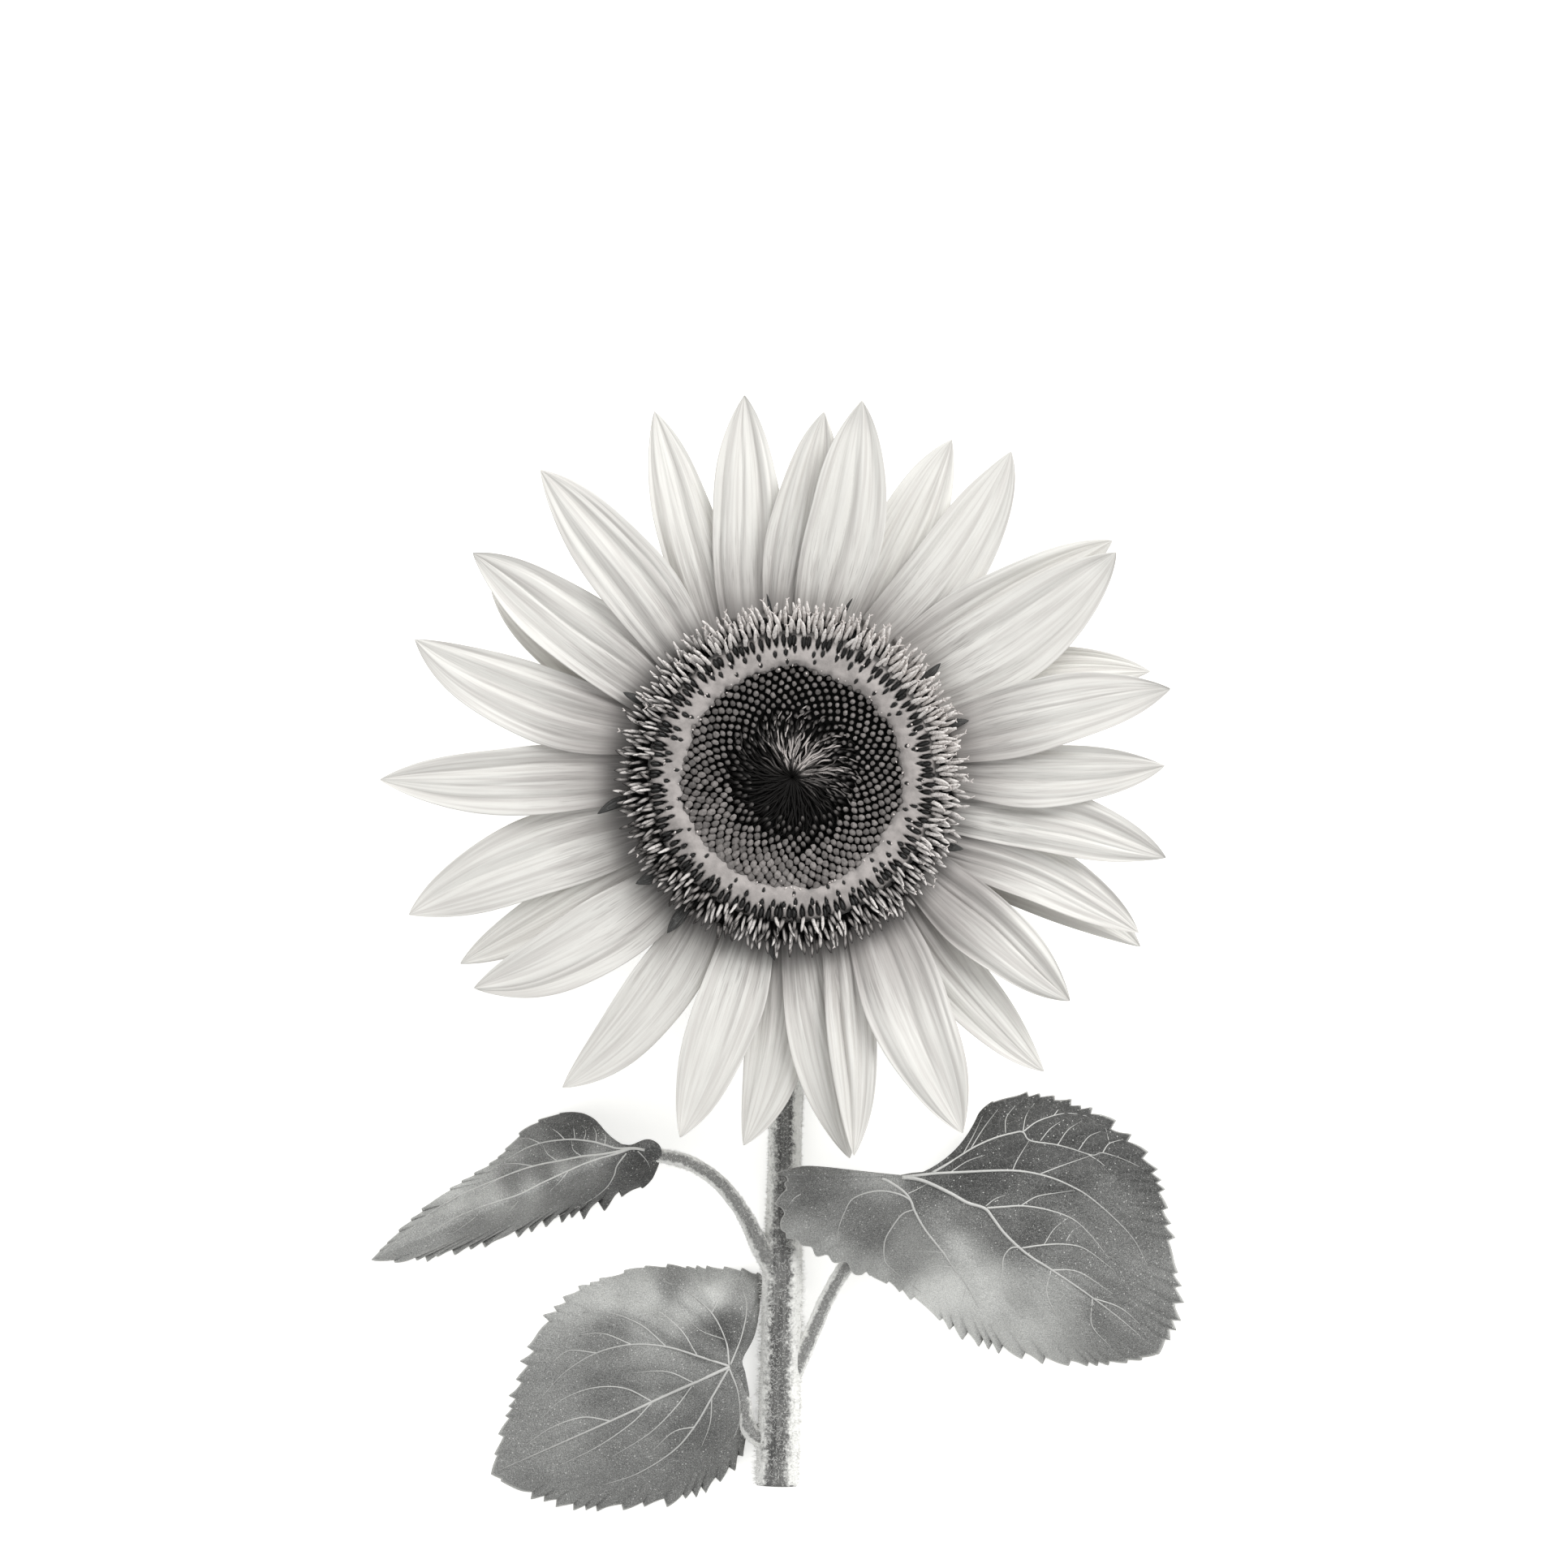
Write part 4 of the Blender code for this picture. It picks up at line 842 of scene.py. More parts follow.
# ---------------------------------------------------------------------------------------------------- petals
def petal_grid(row, number, settings):
    """Grid of points on a petal's middle surface, and how far along and across each one is."""
    tip_direction, tip_radius, base_direction, width, level, bow, pleats, twist = row
    dice = np.random.default_rng(100 + number)
    phase = dice.uniform(0, 2 * math.pi, 8)
    t = (1 - (1 - np.linspace(0, 1, PETAL_LONG_STEPS + 1)) ** 1.3)[:, None]
    s = np.linspace(-1, 1, PETAL_WIDE_STEPS + 1)[None, :]
    base = PETAL_BASE_RADIUS * towards(base_direction)
    chord = tip_radius * towards(tip_direction) - base
    length = np.linalg.norm(chord)
    sideways = np.array((-chord[1], chord[0])) / length
    middle = base + chord * t + sideways * (bow * length * 4 * t * (1 - t))
    heading = unit(chord + sideways * (bow * length * 4 * (1 - 2 * t)))
    across = np.stack([-heading[:, 1], heading[:, 0]], -1)

    spread = 0.72 + 0.28 * np.sin(math.pi / 2 * np.minimum(t / 0.42, 1))
    point = np.maximum(1 - t**3.9, 0) ** 0.92
    half = width / 2 * (0.012 + 0.988 * spread * point)
    ripple = 1 + 0.035 * np.sin(2 * math.pi * (1.4 * t + s * 0.25) + phase[0]) * s * s
    reach = half * s * ripple

    # Grooves and broad swells run the length of the petal and close up towards its base and its tip.
    swell = np.sin(math.pi * np.clip(t, 0, 1) ** 0.7) ** 0.6
    wander = s + 0.06 * np.sin(2.4 * t * math.pi + phase[1]) * (1 - s * s)
    count = int(dice.integers(3, 6))
    places = np.linspace(-0.72, 0.72, count) + dice.uniform(-0.2, 0.2, count)
    grooves = 0.0
    for groove in places:
        ends = (
            smooth_step((t - dice.uniform(-0.3, 0.15)) / 0.2)
            * smooth_step((dice.uniform(0.8, 1.15) - t) / 0.25)
        )
        narrow, deep = dice.uniform(0.045, 0.13), dice.uniform(0.3, 1.0)
        grooves = grooves - deep * np.exp(-(((wander - groove) / narrow) ** 2)) * ends
        beside = (wander - groove - 2.1 * narrow) / (1.6 * narrow)
        grooves = grooves + 0.45 * deep * np.exp(-(beside**2)) * ends
    broad = np.cos(math.pi * dice.uniform(1.4, 2.2) * wander + phase[2])
    broad = broad + 0.6 * np.cos(math.pi * dice.uniform(2.8, 4.0) * wander + phase[6])
    veins = (
        np.cos(2 * math.pi * (5.5 * wander) + phase[3])
        + 0.5 * np.cos(2 * math.pi * (9.0 * wander) + phase[4])
    )
    relief = (
        swell * (0.35 + 0.65 * pleats)
        * (settings.groove_depth * grooves + settings.swell_height * broad) / MM
    )
    relief = relief + settings.vein_height / MM * swell * veins
    margin = (
        0.5 * np.abs(s) ** 3 * np.sin(2 * math.pi * (1.6 * t) + phase[5] + 1.2 * np.sign(s))
        * smooth_step(t / 0.3)
    )

    rise = PETAL_LEVEL_SLOPE * level * t - PETAL_SAG * t**2
    cup = PETAL_CUP * half * s * s * smooth_step(t / 0.5) * dice.uniform(0.7, 1.6)
    lean = np.tan(np.radians(twist) * smooth_step((t - 0.1) / 0.9)) * half * s
    curl = dice.uniform(-0.2, 1.6) * smooth_step((t - 0.82) / 0.18) ** 2
    height = PETAL_LOWEST + PETAL_LEVEL_STEP * level + length * rise + cup + lean + curl + relief + margin
    flat = middle[:, None, :] + across[:, None, :] * reach[..., None]
    return np.concatenate([flat, height[..., None]], -1), t + 0 * s, s + 0 * t


class PetalSettings(bpy.types.PropertyGroup):
    """Sizes and colours of the ray petals"""

    thickness: length_setting("Thickness", 0.40, "At a petal's middle")
    groove_depth: length_setting("Groove depth", 0.75, "Of the long grooves")
    swell_height: length_setting("Swell height", 0.62, "Of the broad folds")
    vein_height: length_setting("Vein height", 0.04, "Of the fine ribs")
    colour: colour_setting("Colour", petal_tint(0.665), "Lit face of a petal")
    shade_colour: colour_setting("Streaks", grey(0.54, 0.03, 0.95), "Between the veins")
    # Painted shade at the foot of a petal, where it goes under the florets.
    base_shade_colour: colour_setting("Base", grey(0.29, 0.07, 0.955), "Where petals go under the florets")


class SUNFLOWER_OT_petals(bpy.types.Operator):
    """Adds the ray petals, each a pleated sheet with a drawn-out tip"""

    bl_idname = "sunflower.petals"
    bl_label = "Ray petals"

    def execute(self, context):
        settings = context.scene.sunflower_petals
        for number, row in enumerate(PETALS, 1):
            grid, along, across = petal_grid(row, number, settings)
            points, faces = sheet(grid,
                settings.thickness / MM * (1 - 0.8 * across**6) * (1 - 0.6 * along**8))
            marks = {"along": along, "across": across, "tone": number * 3.7, "foot_shade": PETAL_FOOT_SHADE[number - 1],
                "shadow": 0.45 - 0.38 * math.cos(math.radians(row[2] - 52))}
            piece(f"petal_{number:02d}", points, faces, finish("petal_skin"), "petal",
                [f"ray_petal_{number:02d}"], **marks)
        return {"FINISHED"}


# ------------------------------------------------------------------------------------------------------ disc
class DiscSettings(bpy.types.PropertyGroup):
    """Spacing and colours of the disc florets"""

    centre_spacing: length_setting("Centre spacing", 2.14, "Between unopened florets")
    ring_spacing: length_setting("Ring spacing", 1.96, "Between open florets")
    dark_colour: colour_setting("Dark parts", floret_tint(0.008), "Feet of the florets")
    # Grey of the caps' tops, lifted a little on the lower right of the disc by painted light.
    cap_colour: colour_setting("Caps", floret_tint(0.40), "Worn caps of unopened florets")
    band_colour: colour_setting("Band", floret_tint(0.35), "Felt of the opening florets")
    band_shade: colour_setting("Band shade", floret_tint(0.25), "Darker patches of the felt")
    tube_colour: colour_setting("Open florets", grey(0.76, 0.045), "Dusty tips")


class SUNFLOWER_OT_centre_florets(bpy.types.Operator):
    """Adds the unopened florets: blunt caps towards the rim, and strands combed over the middle"""

    bl_idname = "sunflower.centre_florets"
    bl_label = "Centre florets"

    def add_caps(self, spacing, dice):
        """Caps that stand almost upright at the rim, and lie over towards the middle where they thin out."""
        radius, angle = spiral(0.0, CENTRE_REACH, spacing, 0.6)
        count = len(radius)
        radius = radius + dice.normal(0, 0.07, count)
        angle = angle + dice.normal(0, 0.05, count) / np.maximum(radius, 2)
        outward, sideways = out_and_aside(angle)
        blunt = smooth_step((radius + dice.normal(0, 1.0, count) - 14.0) / 7.0)[:, None]
        keep = blunt[:, 0] > 0.06
        radius, angle, blunt = radius[keep], angle[keep], blunt[keep]
        outward, sideways = outward[keep], sideways[keep]
        count = len(radius)
        t = np.array((0.0, 0.2, 0.4, 0.6, 0.76, 0.9, 1.0))[None, :]
        length = (4.4 * (1 - blunt) + 3.5 * blunt) * dice.uniform(0.92, 1.08, (count, 1))
        lean = np.radians((40 + 34 * t) * (1 - blunt) + (3 + 16 * t) * blunt)
        step = np.diff(t, prepend=0.0) * length
        inward, upward = np.cumsum(np.sin(lean) * step, axis=1), np.cumsum(np.cos(lean) * step, axis=1)
        swirl = np.radians(9) * (1 - blunt) + dice.normal(0, 0.10, (count, 1)) * (1.3 - blunt)
        heading = (
            -outward[:, None] * np.cos(swirl)[..., None]
            + sideways[:, None] * np.sin(swirl)[..., None]
        )
        foot = outward * radius[:, None]
        foot[:, 2] = height_at(CENTRE_BED, radius) - 0.4
        axes = foot[:, None] + heading * inward[..., None]
        axes[..., 2] += upward
        axes[..., 2] += dice.normal(0, 0.12, (count, 1))

        cap = np.array((0.66, 0.74, 0.84, 0.96, 1.00, 0.94, 0.66))
        strand = np.array((0.60, 0.56, 0.52, 0.46, 0.40, 0.30, 0.14))
        size = spacing / 2 * np.interp(radius, (14, 22, 31), (0.62, 0.78, 0.96))[:, None]
        size = (
            size * (0.92 - 0.15 * np.cos(angle - np.radians(62)))[:, None]
            * dice.uniform(0.88, 1.08, (count, 1))
        )
        radii = cap * size * blunt + strand * (1 - blunt)
        turned_sideways = sideways + outward * dice.normal(0, 0.35, (count, 1))
        points, faces = rods(axes, radii, turned_sideways, 8, 0.6)
        uneven = 1 + dice.normal(0, 0.10, (count, 1, 8, 1))
        offset = (points - axes[:, :, None]) * uneven
        radially = (offset * outward[:, None, None]).sum(3, keepdims=True) * outward[:, None, None]
        brick = 0.34 * blunt * (0.5 - 0.5 * np.cos(angle - np.radians(60)))[:, None]
        points = axes[:, :, None] + offset + radially * brick[..., None, None]
        pale = smooth_step((t[..., None] - 0.62) / 0.25)
        # Painted light: caps on the lower right of the disc are made a little paler, those on the upper left
        # a little darker.
        grey_share = np.cos(angle + np.radians(48))[:, None, None] * 0.05 + 0.57
        pale = pale * grey_share * dice.uniform(0.68, 1.12, (count, 1, 1)) * (0.35 + 0.65 * blunt[..., None])
        piece("centre_caps", points, faces, finish("centre_cap"), "centre_floret",
            ["centre_florets"], pale=pale)

    def add_strands(self, spacing, dice):
        """Thin wavy strands that cover the middle, combed inwards to meet over the pit."""
        radius, angle = spiral(0.6, 21.0, spacing * 0.74)
        keep = dice.uniform(0, 1, len(radius)) < np.interp(radius, (13, 21), (1.0, 0.35))
        radius, angle = radius[keep], angle[keep]
        count = len(radius)
        angle = angle + dice.normal(0, 0.3, count) / np.maximum(radius, 2)
        t = np.linspace(0, 1, 10)[None, :]
        usual = np.interp(radius, (0, 11, 16, 21), (9.5, 9.0, 5.0, 2.2))
        reach = np.minimum(radius - 0.4, usual * dice.uniform(0.75, 1.1, count))[:, None]
        phase = dice.uniform(0, 2 * math.pi, (count, 1))
        from_axis = radius[:, None] - reach * t
        sway = (
            dice.normal(0, 0.26, (count, 1)) * np.sin(2 * math.pi * 1.1 * t + phase)
            + dice.normal(0, 0.25, (count, 1)) * t
        )
        turn = (
            angle[:, None] + np.radians(6) * t
            + sway * np.minimum(from_axis / 4, 1) / np.maximum(from_axis, 1.5)
        )
        lift = (
            0.5 + (0.5 + dice.uniform(0, 1.3, (count, 1)))
            * np.sin(math.pi * np.minimum(t * 0.8 + 0.08, 1)) * smooth_step(radius / 6)[:, None]
        )
        axes = np.stack([from_axis * np.cos(turn), from_axis * np.sin(turn),
            height_at(CENTRE_BED, from_axis) + lift], -1)
        radii = (
            np.array((0.26, 0.30, 0.31, 0.30, 0.28, 0.26, 0.23, 0.19, 0.14, 0.07))
            * dice.uniform(0.7, 1.1, (count, 1))
        )
        points, faces = rods(axes, radii, np.array((0.0, 0.0, 1.0)) + 0 * axes[:, 0], 6)
        # Painted highlight: strands on the side of the disc towards 55 degrees are marked pale, some more
        # than others at random.
        facing = 0.5 + 0.5 * np.cos(angle - np.radians(55))[:, None, None]
        shine = smooth_step((t - 0.05) / 0.3)[..., None] * smooth_step((from_axis - 1.0) / 4.0)[..., None]
        bright = dice.uniform(0.0, 1.0, (count, 1, 1)) ** 1.3
        pale = shine * (0.01 + 1.2 * facing**2.4) * (0.08 + 1.3 * bright)
        piece("centre_strands", points, faces, finish("centre_strand"), "centre_floret", pale=pale)

    def execute(self, context):
        spacing = context.scene.sunflower_disc.centre_spacing / MM
        dice = np.random.default_rng(7)
        self.add_caps(spacing, dice)
        self.add_strands(spacing, dice)
        points, faces = turned(CENTRE_BED, 120, 24)
        piece("centre_bed", points, faces[:, ::-1].tolist(), finish("bed_dark"), "centre_floret")
        return {"FINISHED"}


class SUNFLOWER_OT_pollen_band(bpy.types.Operator):
    """Adds the pale band of opening florets, with dark bud tips in it"""

    bl_idname = "sunflower.pollen_band"
    bl_label = "Pollen band"

    def sockets(self, dice):
        """Sockets in the felt, as (radius, angle, half-length, half-width, depth), the close row first."""
        rows = []
        for number, low_radius, high_radius, long_, wide, deep in (
            (CLOSE_SOCKETS, 37.7, 39.0, (1.7, 2.4), (0.66, 0.86), 2.2),
            (58, 34.8, 36.4, (0.9, 1.4), (0.50, 0.68), 1.0),
            (24, 32.3, 33.6, (0.6, 0.9), (0.42, 0.55), 0.7),
        ):
            spots = (np.arange(number) + dice.uniform(-0.32, 0.32, number)) * 2 * math.pi / number
            sizes = dice.uniform(*long_, number), dice.uniform(*wide, number), np.full(number, deep)
            rows.append(np.stack([dice.uniform(low_radius, high_radius, number), spots, *sizes], -1))
        return np.concatenate(rows)

    def sunk(self, points, sockets):
        """How far into a socket each point lies, from 0 on the felt to 1, and that socket's depth."""
        tree = KDTree(len(sockets))
        for index, (r, a, *_) in enumerate(sockets):
            tree.insert((r * math.cos(a), r * math.sin(a), 0), index)
        tree.balance()
        inside, depth = np.zeros(points.shape[:2]), np.zeros(points.shape[:2])
        for place in np.ndindex(inside.shape):
            x, y = points[place][:2]
            for _, index, _ in tree.find_n((x, y, 0), 3):
                r, a, long_, wide, deep = sockets[index]
                out = x * math.cos(a) + y * math.sin(a) - r
                aside = y * math.cos(a) - x * math.sin(a)
                wide = wide * (1 + 0.35 * min(max(out / long_, -1), 1))
                gap = math.hypot(out / long_, aside / wide)
                share = min(max((1.12 - gap) / 0.34, 0), 1)
                if share > inside[place]:
                    inside[place], depth[place] = share, deep
        return smooth_step(inside), depth

    def add_felt(self, sockets, wave):
        """The uneven felt, pressed in at its sockets."""

        def wobble(r, z, a):
            waves = enumerate((4, 7, 11, 17, 26, 38, 57, 83))
            edge = sum(np.sin(a * k + wave[i]) / (1 + i / 4) for i, k in waves)
            r = (
                r + (0.42 * edge + 0.35) * smooth_step((34 - r) / 3.5)
                + 0.5 * np.cos(a - 0.6) * smooth_step((r - 34) / 3)
            )
            swell = (
                0.10 * edge
                + 0.22 * np.sin(9 * a + wave[1]) * np.sin(0.9 * r) * smooth_step((r - 31) / 2)
            )
            return r, z + swell

        points, faces = turned(BAND_OUTLINE, 960, 44, wobble)
        inside, depth = self.sunk(points, sockets)
        points[..., 2] -= inside * depth
        from_axis = np.hypot(points[..., 0], points[..., 1])
        # Painted shade: marked low inside the sockets and past 39.6 mm, where the felt runs under the open
        # florets.
        low = np.maximum(inside, smooth_step((from_axis - 39.6) / 1.2))
        piece("band_felt", points, faces[:, ::-1].tolist(), finish("band_felt"), "opening_floret",
            ["pollen_band"], low=low)

    def add_buds(self, sockets):
        """A dark bud tip in each socket."""
        radius, angle, long_, wide, deep = sockets.T
        outward, sideways = out_and_aside(angle)
        t = np.linspace(0, 1, 9)
        axes = outward[:, None] * (radius[:, None] + 1.5 * (t[None, :] - 0.42) * long_[:, None])[..., None]
        top = height_at(BAND_OUTLINE, radius)
        axes[..., 2] = (top - 0.45 * deep)[:, None] + (0.15 + 0.25 * deep)[:, None] * t
        radii = np.sqrt(np.clip(1 - (2 * t**0.8 - 1) ** 2, 0.02, 1)) * (wide * 0.72)[:, None]
        points, faces = rods(axes, radii, sideways, 10)
        piece("bud_tips", points, faces, finish("bud_dark"), "opening_floret")

    def add_crumbs(self, sockets, dice):
        """Crumbs of pollen along the band's inner edge, and the first of them beside the strewn sockets."""
        count, near = 110, 60
        angle, radius = dice.uniform(0, 2 * math.pi, count), dice.normal(31.4, 0.6, count)
        beside = sockets[CLOSE_SOCKETS:][dice.integers(0, len(sockets) - CLOSE_SOCKETS, near)]
        angle[:near] = beside[:, 1] + dice.normal(0, 0.35, near) / beside[:, 0]
        radius[:near] = beside[:, 0] + beside[:, 2] * dice.uniform(0.6, 1.1, near)
        foot = np.stack([radius * np.cos(angle), radius * np.sin(angle),
            48.6 + dice.uniform(0, 0.8, count)], -1)
        foot[:near, 2] = height_at(BAND_OUTLINE, radius[:near]) + 0.15
        heading = unit(dice.normal(0, 1, (count, 3)))
        axes = (
            foot[:, None]
            + heading[:, None] * np.linspace(-0.3, 0.3, 4)[:, None] * dice.uniform(0.7, 1.5, (count, 1, 1))
        )
        radii = np.array((0.35, 1.0, 0.9, 0.3)) * dice.uniform(0.14, 0.34, (count, 1))
        points, faces = rods(axes, radii, np.cross(heading, (0.3, 0.5, 0.8)), 5)
        piece("pollen_crumbs", points, faces, finish("pollen_dust"), "opening_floret")

    def execute(self, context):
        dice = np.random.default_rng(11)
        wave = dice.uniform(0, 2 * math.pi, 8)
        sockets = self.sockets(dice)
        self.add_felt(sockets, wave)
        self.add_buds(sockets)
        self.add_crumbs(sockets, dice)
        return {"FINISHED"}


class SUNFLOWER_OT_open_florets(bpy.types.Operator):
    """Adds the open florets: rods that lean out over the petals, with forked tips and a dark bed below"""

    bl_idname = "sunflower.open_florets"
    bl_label = "Open florets"

    def execute(self, context):
        dice = np.random.default_rng(23)
        radius, angle = spiral(38.2, RING_REACH, context.scene.sunflower_disc.ring_spacing / MM)
        count = len(radius)
        angle = angle + dice.normal(0, 0.006, count)
        radius = radius + dice.normal(0, 0.25, count)
        share = np.clip((radius - 38.4) / (RING_REACH - 38.4), 0, 1)[:, None]
        outward, sideways = out_and_aside(angle)
        t = np.linspace(0, 1, 11)[None, :]
        length = dice.uniform(7.6, 9.6, (count, 1)) * (1 - 0.10 * share)
        lean = np.radians(25 + 8 * share + (22 + 6 * share) * t + dice.normal(0, 3.5, (count, 1)))
        veer = np.radians(dice.normal(0, 5, (count, 1)) + dice.normal(0, 8, (count, 1)) * t)
        step = length / 10
        out = np.cumsum(np.sin(lean), axis=1) * step - np.sin(lean) * step
        up = np.cumsum(np.cos(lean), axis=1) * step - np.cos(lean) * step
        heading = outward[:, None] * np.cos(veer)[..., None] + sideways[:, None] * np.sin(veer)[..., None]
        foot = outward * np.minimum(radius, 45.2)[:, None]
        foot[:, 2] = 45.2 - 2.0 * share[:, 0] ** 2
        axes = foot[:, None] + heading * out[..., None]
        axes[..., 2] += up
        profile = np.array((0.80, 0.84, 0.90, 0.98, 1.04, 1.08, 1.08, 1.04, 0.94, 0.74, 0.34))
        knobs = 1 + 0.10 * np.sin(2 * math.pi * (2.4 * t + dice.uniform(0, 1, (count, 1))))
        radii = profile * knobs * dice.uniform(0.42, 0.58, (count, 1))
        points, faces = rods(axes, radii, sideways, 10)
        uneven = 1 + dice.normal(0, 0.05, (*points.shape[:3], 1)) * np.minimum(t * 3, 1)[..., None, None]
        points = axes[:, :, None] + (points - axes[:, :, None]) * uneven
        # Painted light and shade: rods facing the light at about 52 degrees get more pale dust, the others
        # greyer tips and a darker side.
        facing = 0.5 + 0.5 * np.cos(angle - np.radians(52))[:, None, None]
        dust_and_light = 0.10 + 0.85 * facing + dice.uniform(-0.35, 0.35, (count, 1, 1))
        seam = np.sin((np.arange(10) + 0.5) * 2 * math.pi / 10) + 1.5 * smooth_step((facing - 0.45) / 0.5)
        piece("open_tubes", points, faces, finish("open_tube"), "open_floret", ["open_florets"],
            along=t[..., None], tone=dust_and_light, seam=seam)

        # Forked tips: two fine arms from the ends of some rods, mostly where the ring faces the light.
        forked = dice.uniform(0, 1, count) < 0.60 * facing[:, 0, 0] ** 1.5
        ends, ahead = axes[forked, -1], unit(axes[forked, -1] - axes[forked, -2])
        arms = []
        for side in (-1, 1):
            aside = sideways[forked] * side + dice.normal(0, 0.3, ends.shape)
            reach = (
                dice.uniform(0.7, 1.4, (len(ends), 1, 1))
                * np.array((0.0, 0.35, 0.75, 1.0))[None, :, None]
            )
            arms.append(ends[:, None] + ahead[:, None] * (reach * 0.8 - 0.25)
                + aside[:, None] * reach**1.6 * 0.42)
        axes = np.concatenate(arms)
        radii = np.array((0.24, 0.20, 0.15, 0.08)) * np.ones((len(axes), 1))
        points, faces = rods(axes, radii, np.tile(sideways[forked], (2, 1)), 4)
        piece("floret_forks", points, faces, finish("pollen_dust"), "open_floret")
        points, faces = turned(RING_BED, 720, 30, lambda r, z, a: (r + 0.35 * np.cos(90 * a) * (r > 44), z))
        wall = smooth_step((42.6 - points[..., 2]) / 3)
        piece("ring_bed", points, faces[:, ::-1].tolist(), finish("bed_dark"), "open_floret", wall=wall)
        return {"FINISHED"}


# --------------------------------------------------------------------------------------- bracts and the plate
def scale_grid(centre_line, half_width, direction, dome, long_steps, wide_steps, seed):
    """Grid of a pointed scale along a (radius, height) line, veins raised, and its along and across marks."""
    dice = np.random.default_rng(seed)
    line = smooth_line(centre_line, long_steps + 1)
    t, s = np.linspace(0, 1, long_steps + 1)[:, None], np.linspace(-1, 1, wide_steps + 1)[None, :]
    outward = towards(direction)
    across = np.array((-outward[1], outward[0]))
    wide = np.where(t > 0.25, (0.62 + 1.5 * t) * np.maximum(1 - t, 0) ** 0.9, 0.62 + 0.55 * t)
    half = half_width * (0.015 + 0.985 * np.minimum(wide, 1))
    drift = dice.uniform(-0.05, 0.05) * line[-1, 0] * t**2
    flat = outward * line[:, None, :1] + across * (half * s + drift)[..., None]
    ribs = 0.10 * np.cos(2 * math.pi * 2.5 * s) * (1 - t) ** 0.5
    wave = 0.35 * s**3 * np.sin(2 * math.pi * 1.3 * t + dice.uniform(0, 6)) * smooth_step(t / 0.3) * (1 - t)
    height = line[:, 1:2] - dome * half * s * s + ribs + wave
    return np.concatenate([flat, height[..., None]], -1), t + 0 * s, s + 0 * t


def add_scales(name, grids, thickness, nodes, seed):
    """One piece for each scale, and the hairs on all the bracts' margins as another."""
    roots, normals = [], []
    for number, (grid, along, across) in enumerate(grids, 1):
        points, faces = sheet(grid, thickness * (1 - 0.6 * across**4))
        marks = {"along": along, "across": across, "tone": seed + number * 1.9}
        replaced = [nodes[number - 1]] if nodes else []
        piece(f"{name}_{number:02d}", points, faces, finish("bract_skin" if nodes else "scale_dark"),
            "bract", replaced, **marks)
        for column in (0, -1):
            edge = grid[2:-1, column]
            roots.append(np.repeat(edge, 3, 0))
            normals.append(np.repeat(unit(edge - grid[2:-1, grid.shape[1] // 2]), 3, 0))
    if not nodes:
        return
    roots, normals = np.concatenate(roots), np.concatenate(normals)
    dice = np.random.default_rng(seed)
    roots = roots + dice.uniform(-0.5, 0.5, roots.shape) * (1, 1, 0.1)
    keep = roots[:, 2] > 1.5
    roots, normals = roots[keep], normals[keep]
    hairs(f"{name}_hairs", roots, normals, dice.uniform(0.6, 1.4, len(roots)), 0.05, finish("hair_pale"),
        "bract", seed)


class SUNFLOWER_OT_bracts(bpy.types.Operator):
    """Adds both rows of bracts behind the petals, and the scale tips that show past the florets"""

    bl_idname = "sunflower.bracts"
    bl_label = "Bracts"

    def execute(self, context):
        first = 270 + 180 / OUTER_BRACTS
        outer = [first + 360 / OUTER_BRACTS * i for i in range(OUTER_BRACTS)]
        inner = [360 / INNER_BRACTS * i for i in range(INNER_BRACTS)]
        grids = [scale_grid(OUTER_BRACT_LINE, 8.25, a, 0.12, 40, 18, i) for i, a in enumerate(outer)]
        add_scales("bract_outer", grids, 0.75,
            [f"outer_bract_{i + 1:02d}" for i in range(OUTER_BRACTS)], 31)
        grids = [scale_grid(INNER_BRACT_LINE, 7.5, a, 0.12, 40, 18, 50 + i) for i, a in enumerate(inner)]
        add_scales("bract_inner", grids, 0.75,
            [f"inner_bract_{i + 1:02d}" for i in range(INNER_BRACTS)], 32)
        grids = []
        for i, (direction, radius, length, width) in enumerate(SCALE_TIPS):
            line = ((radius - length, 45.2), (radius - length / 2, 46.6), (radius, 46.2))
            grids.append(scale_grid(line, width / 2, direction, 0.2, 16, 8, 90 + i))
        add_scales("scale_tip", grids, 0.4, [], 33)
        return {"FINISHED"}


class SUNFLOWER_OT_plate(bpy.types.Operator):
    """Adds the fleshy plate under the head, ribbed towards the stem"""

    bl_idname = "sunflower.plate"
    bl_label = "Receptacle"

    def execute(self, context):
        dice = np.random.default_rng(5)
        wave = dice.uniform(0, 2 * math.pi, 4)

        def wobble(r, z, a):
            ribs = 0.25 * np.cos(34 * a + 0.6 * np.sin(3 * a + wave[0])) + 0.18 * np.sin(13 * a + wave[1])
            pleated = r - 0.15 * (1 + np.sin(21 * a + wave[2])) * smooth_step((r - 8) / 6)
            return pleated, z + ribs * smooth_step((r - 7) / 12)

        outline = ((0.0, 36.9), (30.0, 36.9), (46.0, 36.9), *PLATE_OUTLINE, (0.0, 16.6))
        points, faces = turned(outline, 300, 90, wobble)
        marks = {"along": points[..., 2] / 40, "across": 0.0, "tone": 4.0}
        piece("plate", points, faces.tolist(), finish("bract_skin"), "bract", ["receptacle"], **marks)
        pick = dice.integers(0, 300, 900), dice.integers(34, 78, 900)
        roots = points[pick[1], pick[0]]
        normals = unit(roots * (0.5, 0.5, 0) + (0, 0, -18))
        hairs("plate_hairs", roots, normals, dice.uniform(0.7, 1.5, 900), 0.05,
            finish("hair_pale"), "bract", 6)
        return {"FINISHED"}


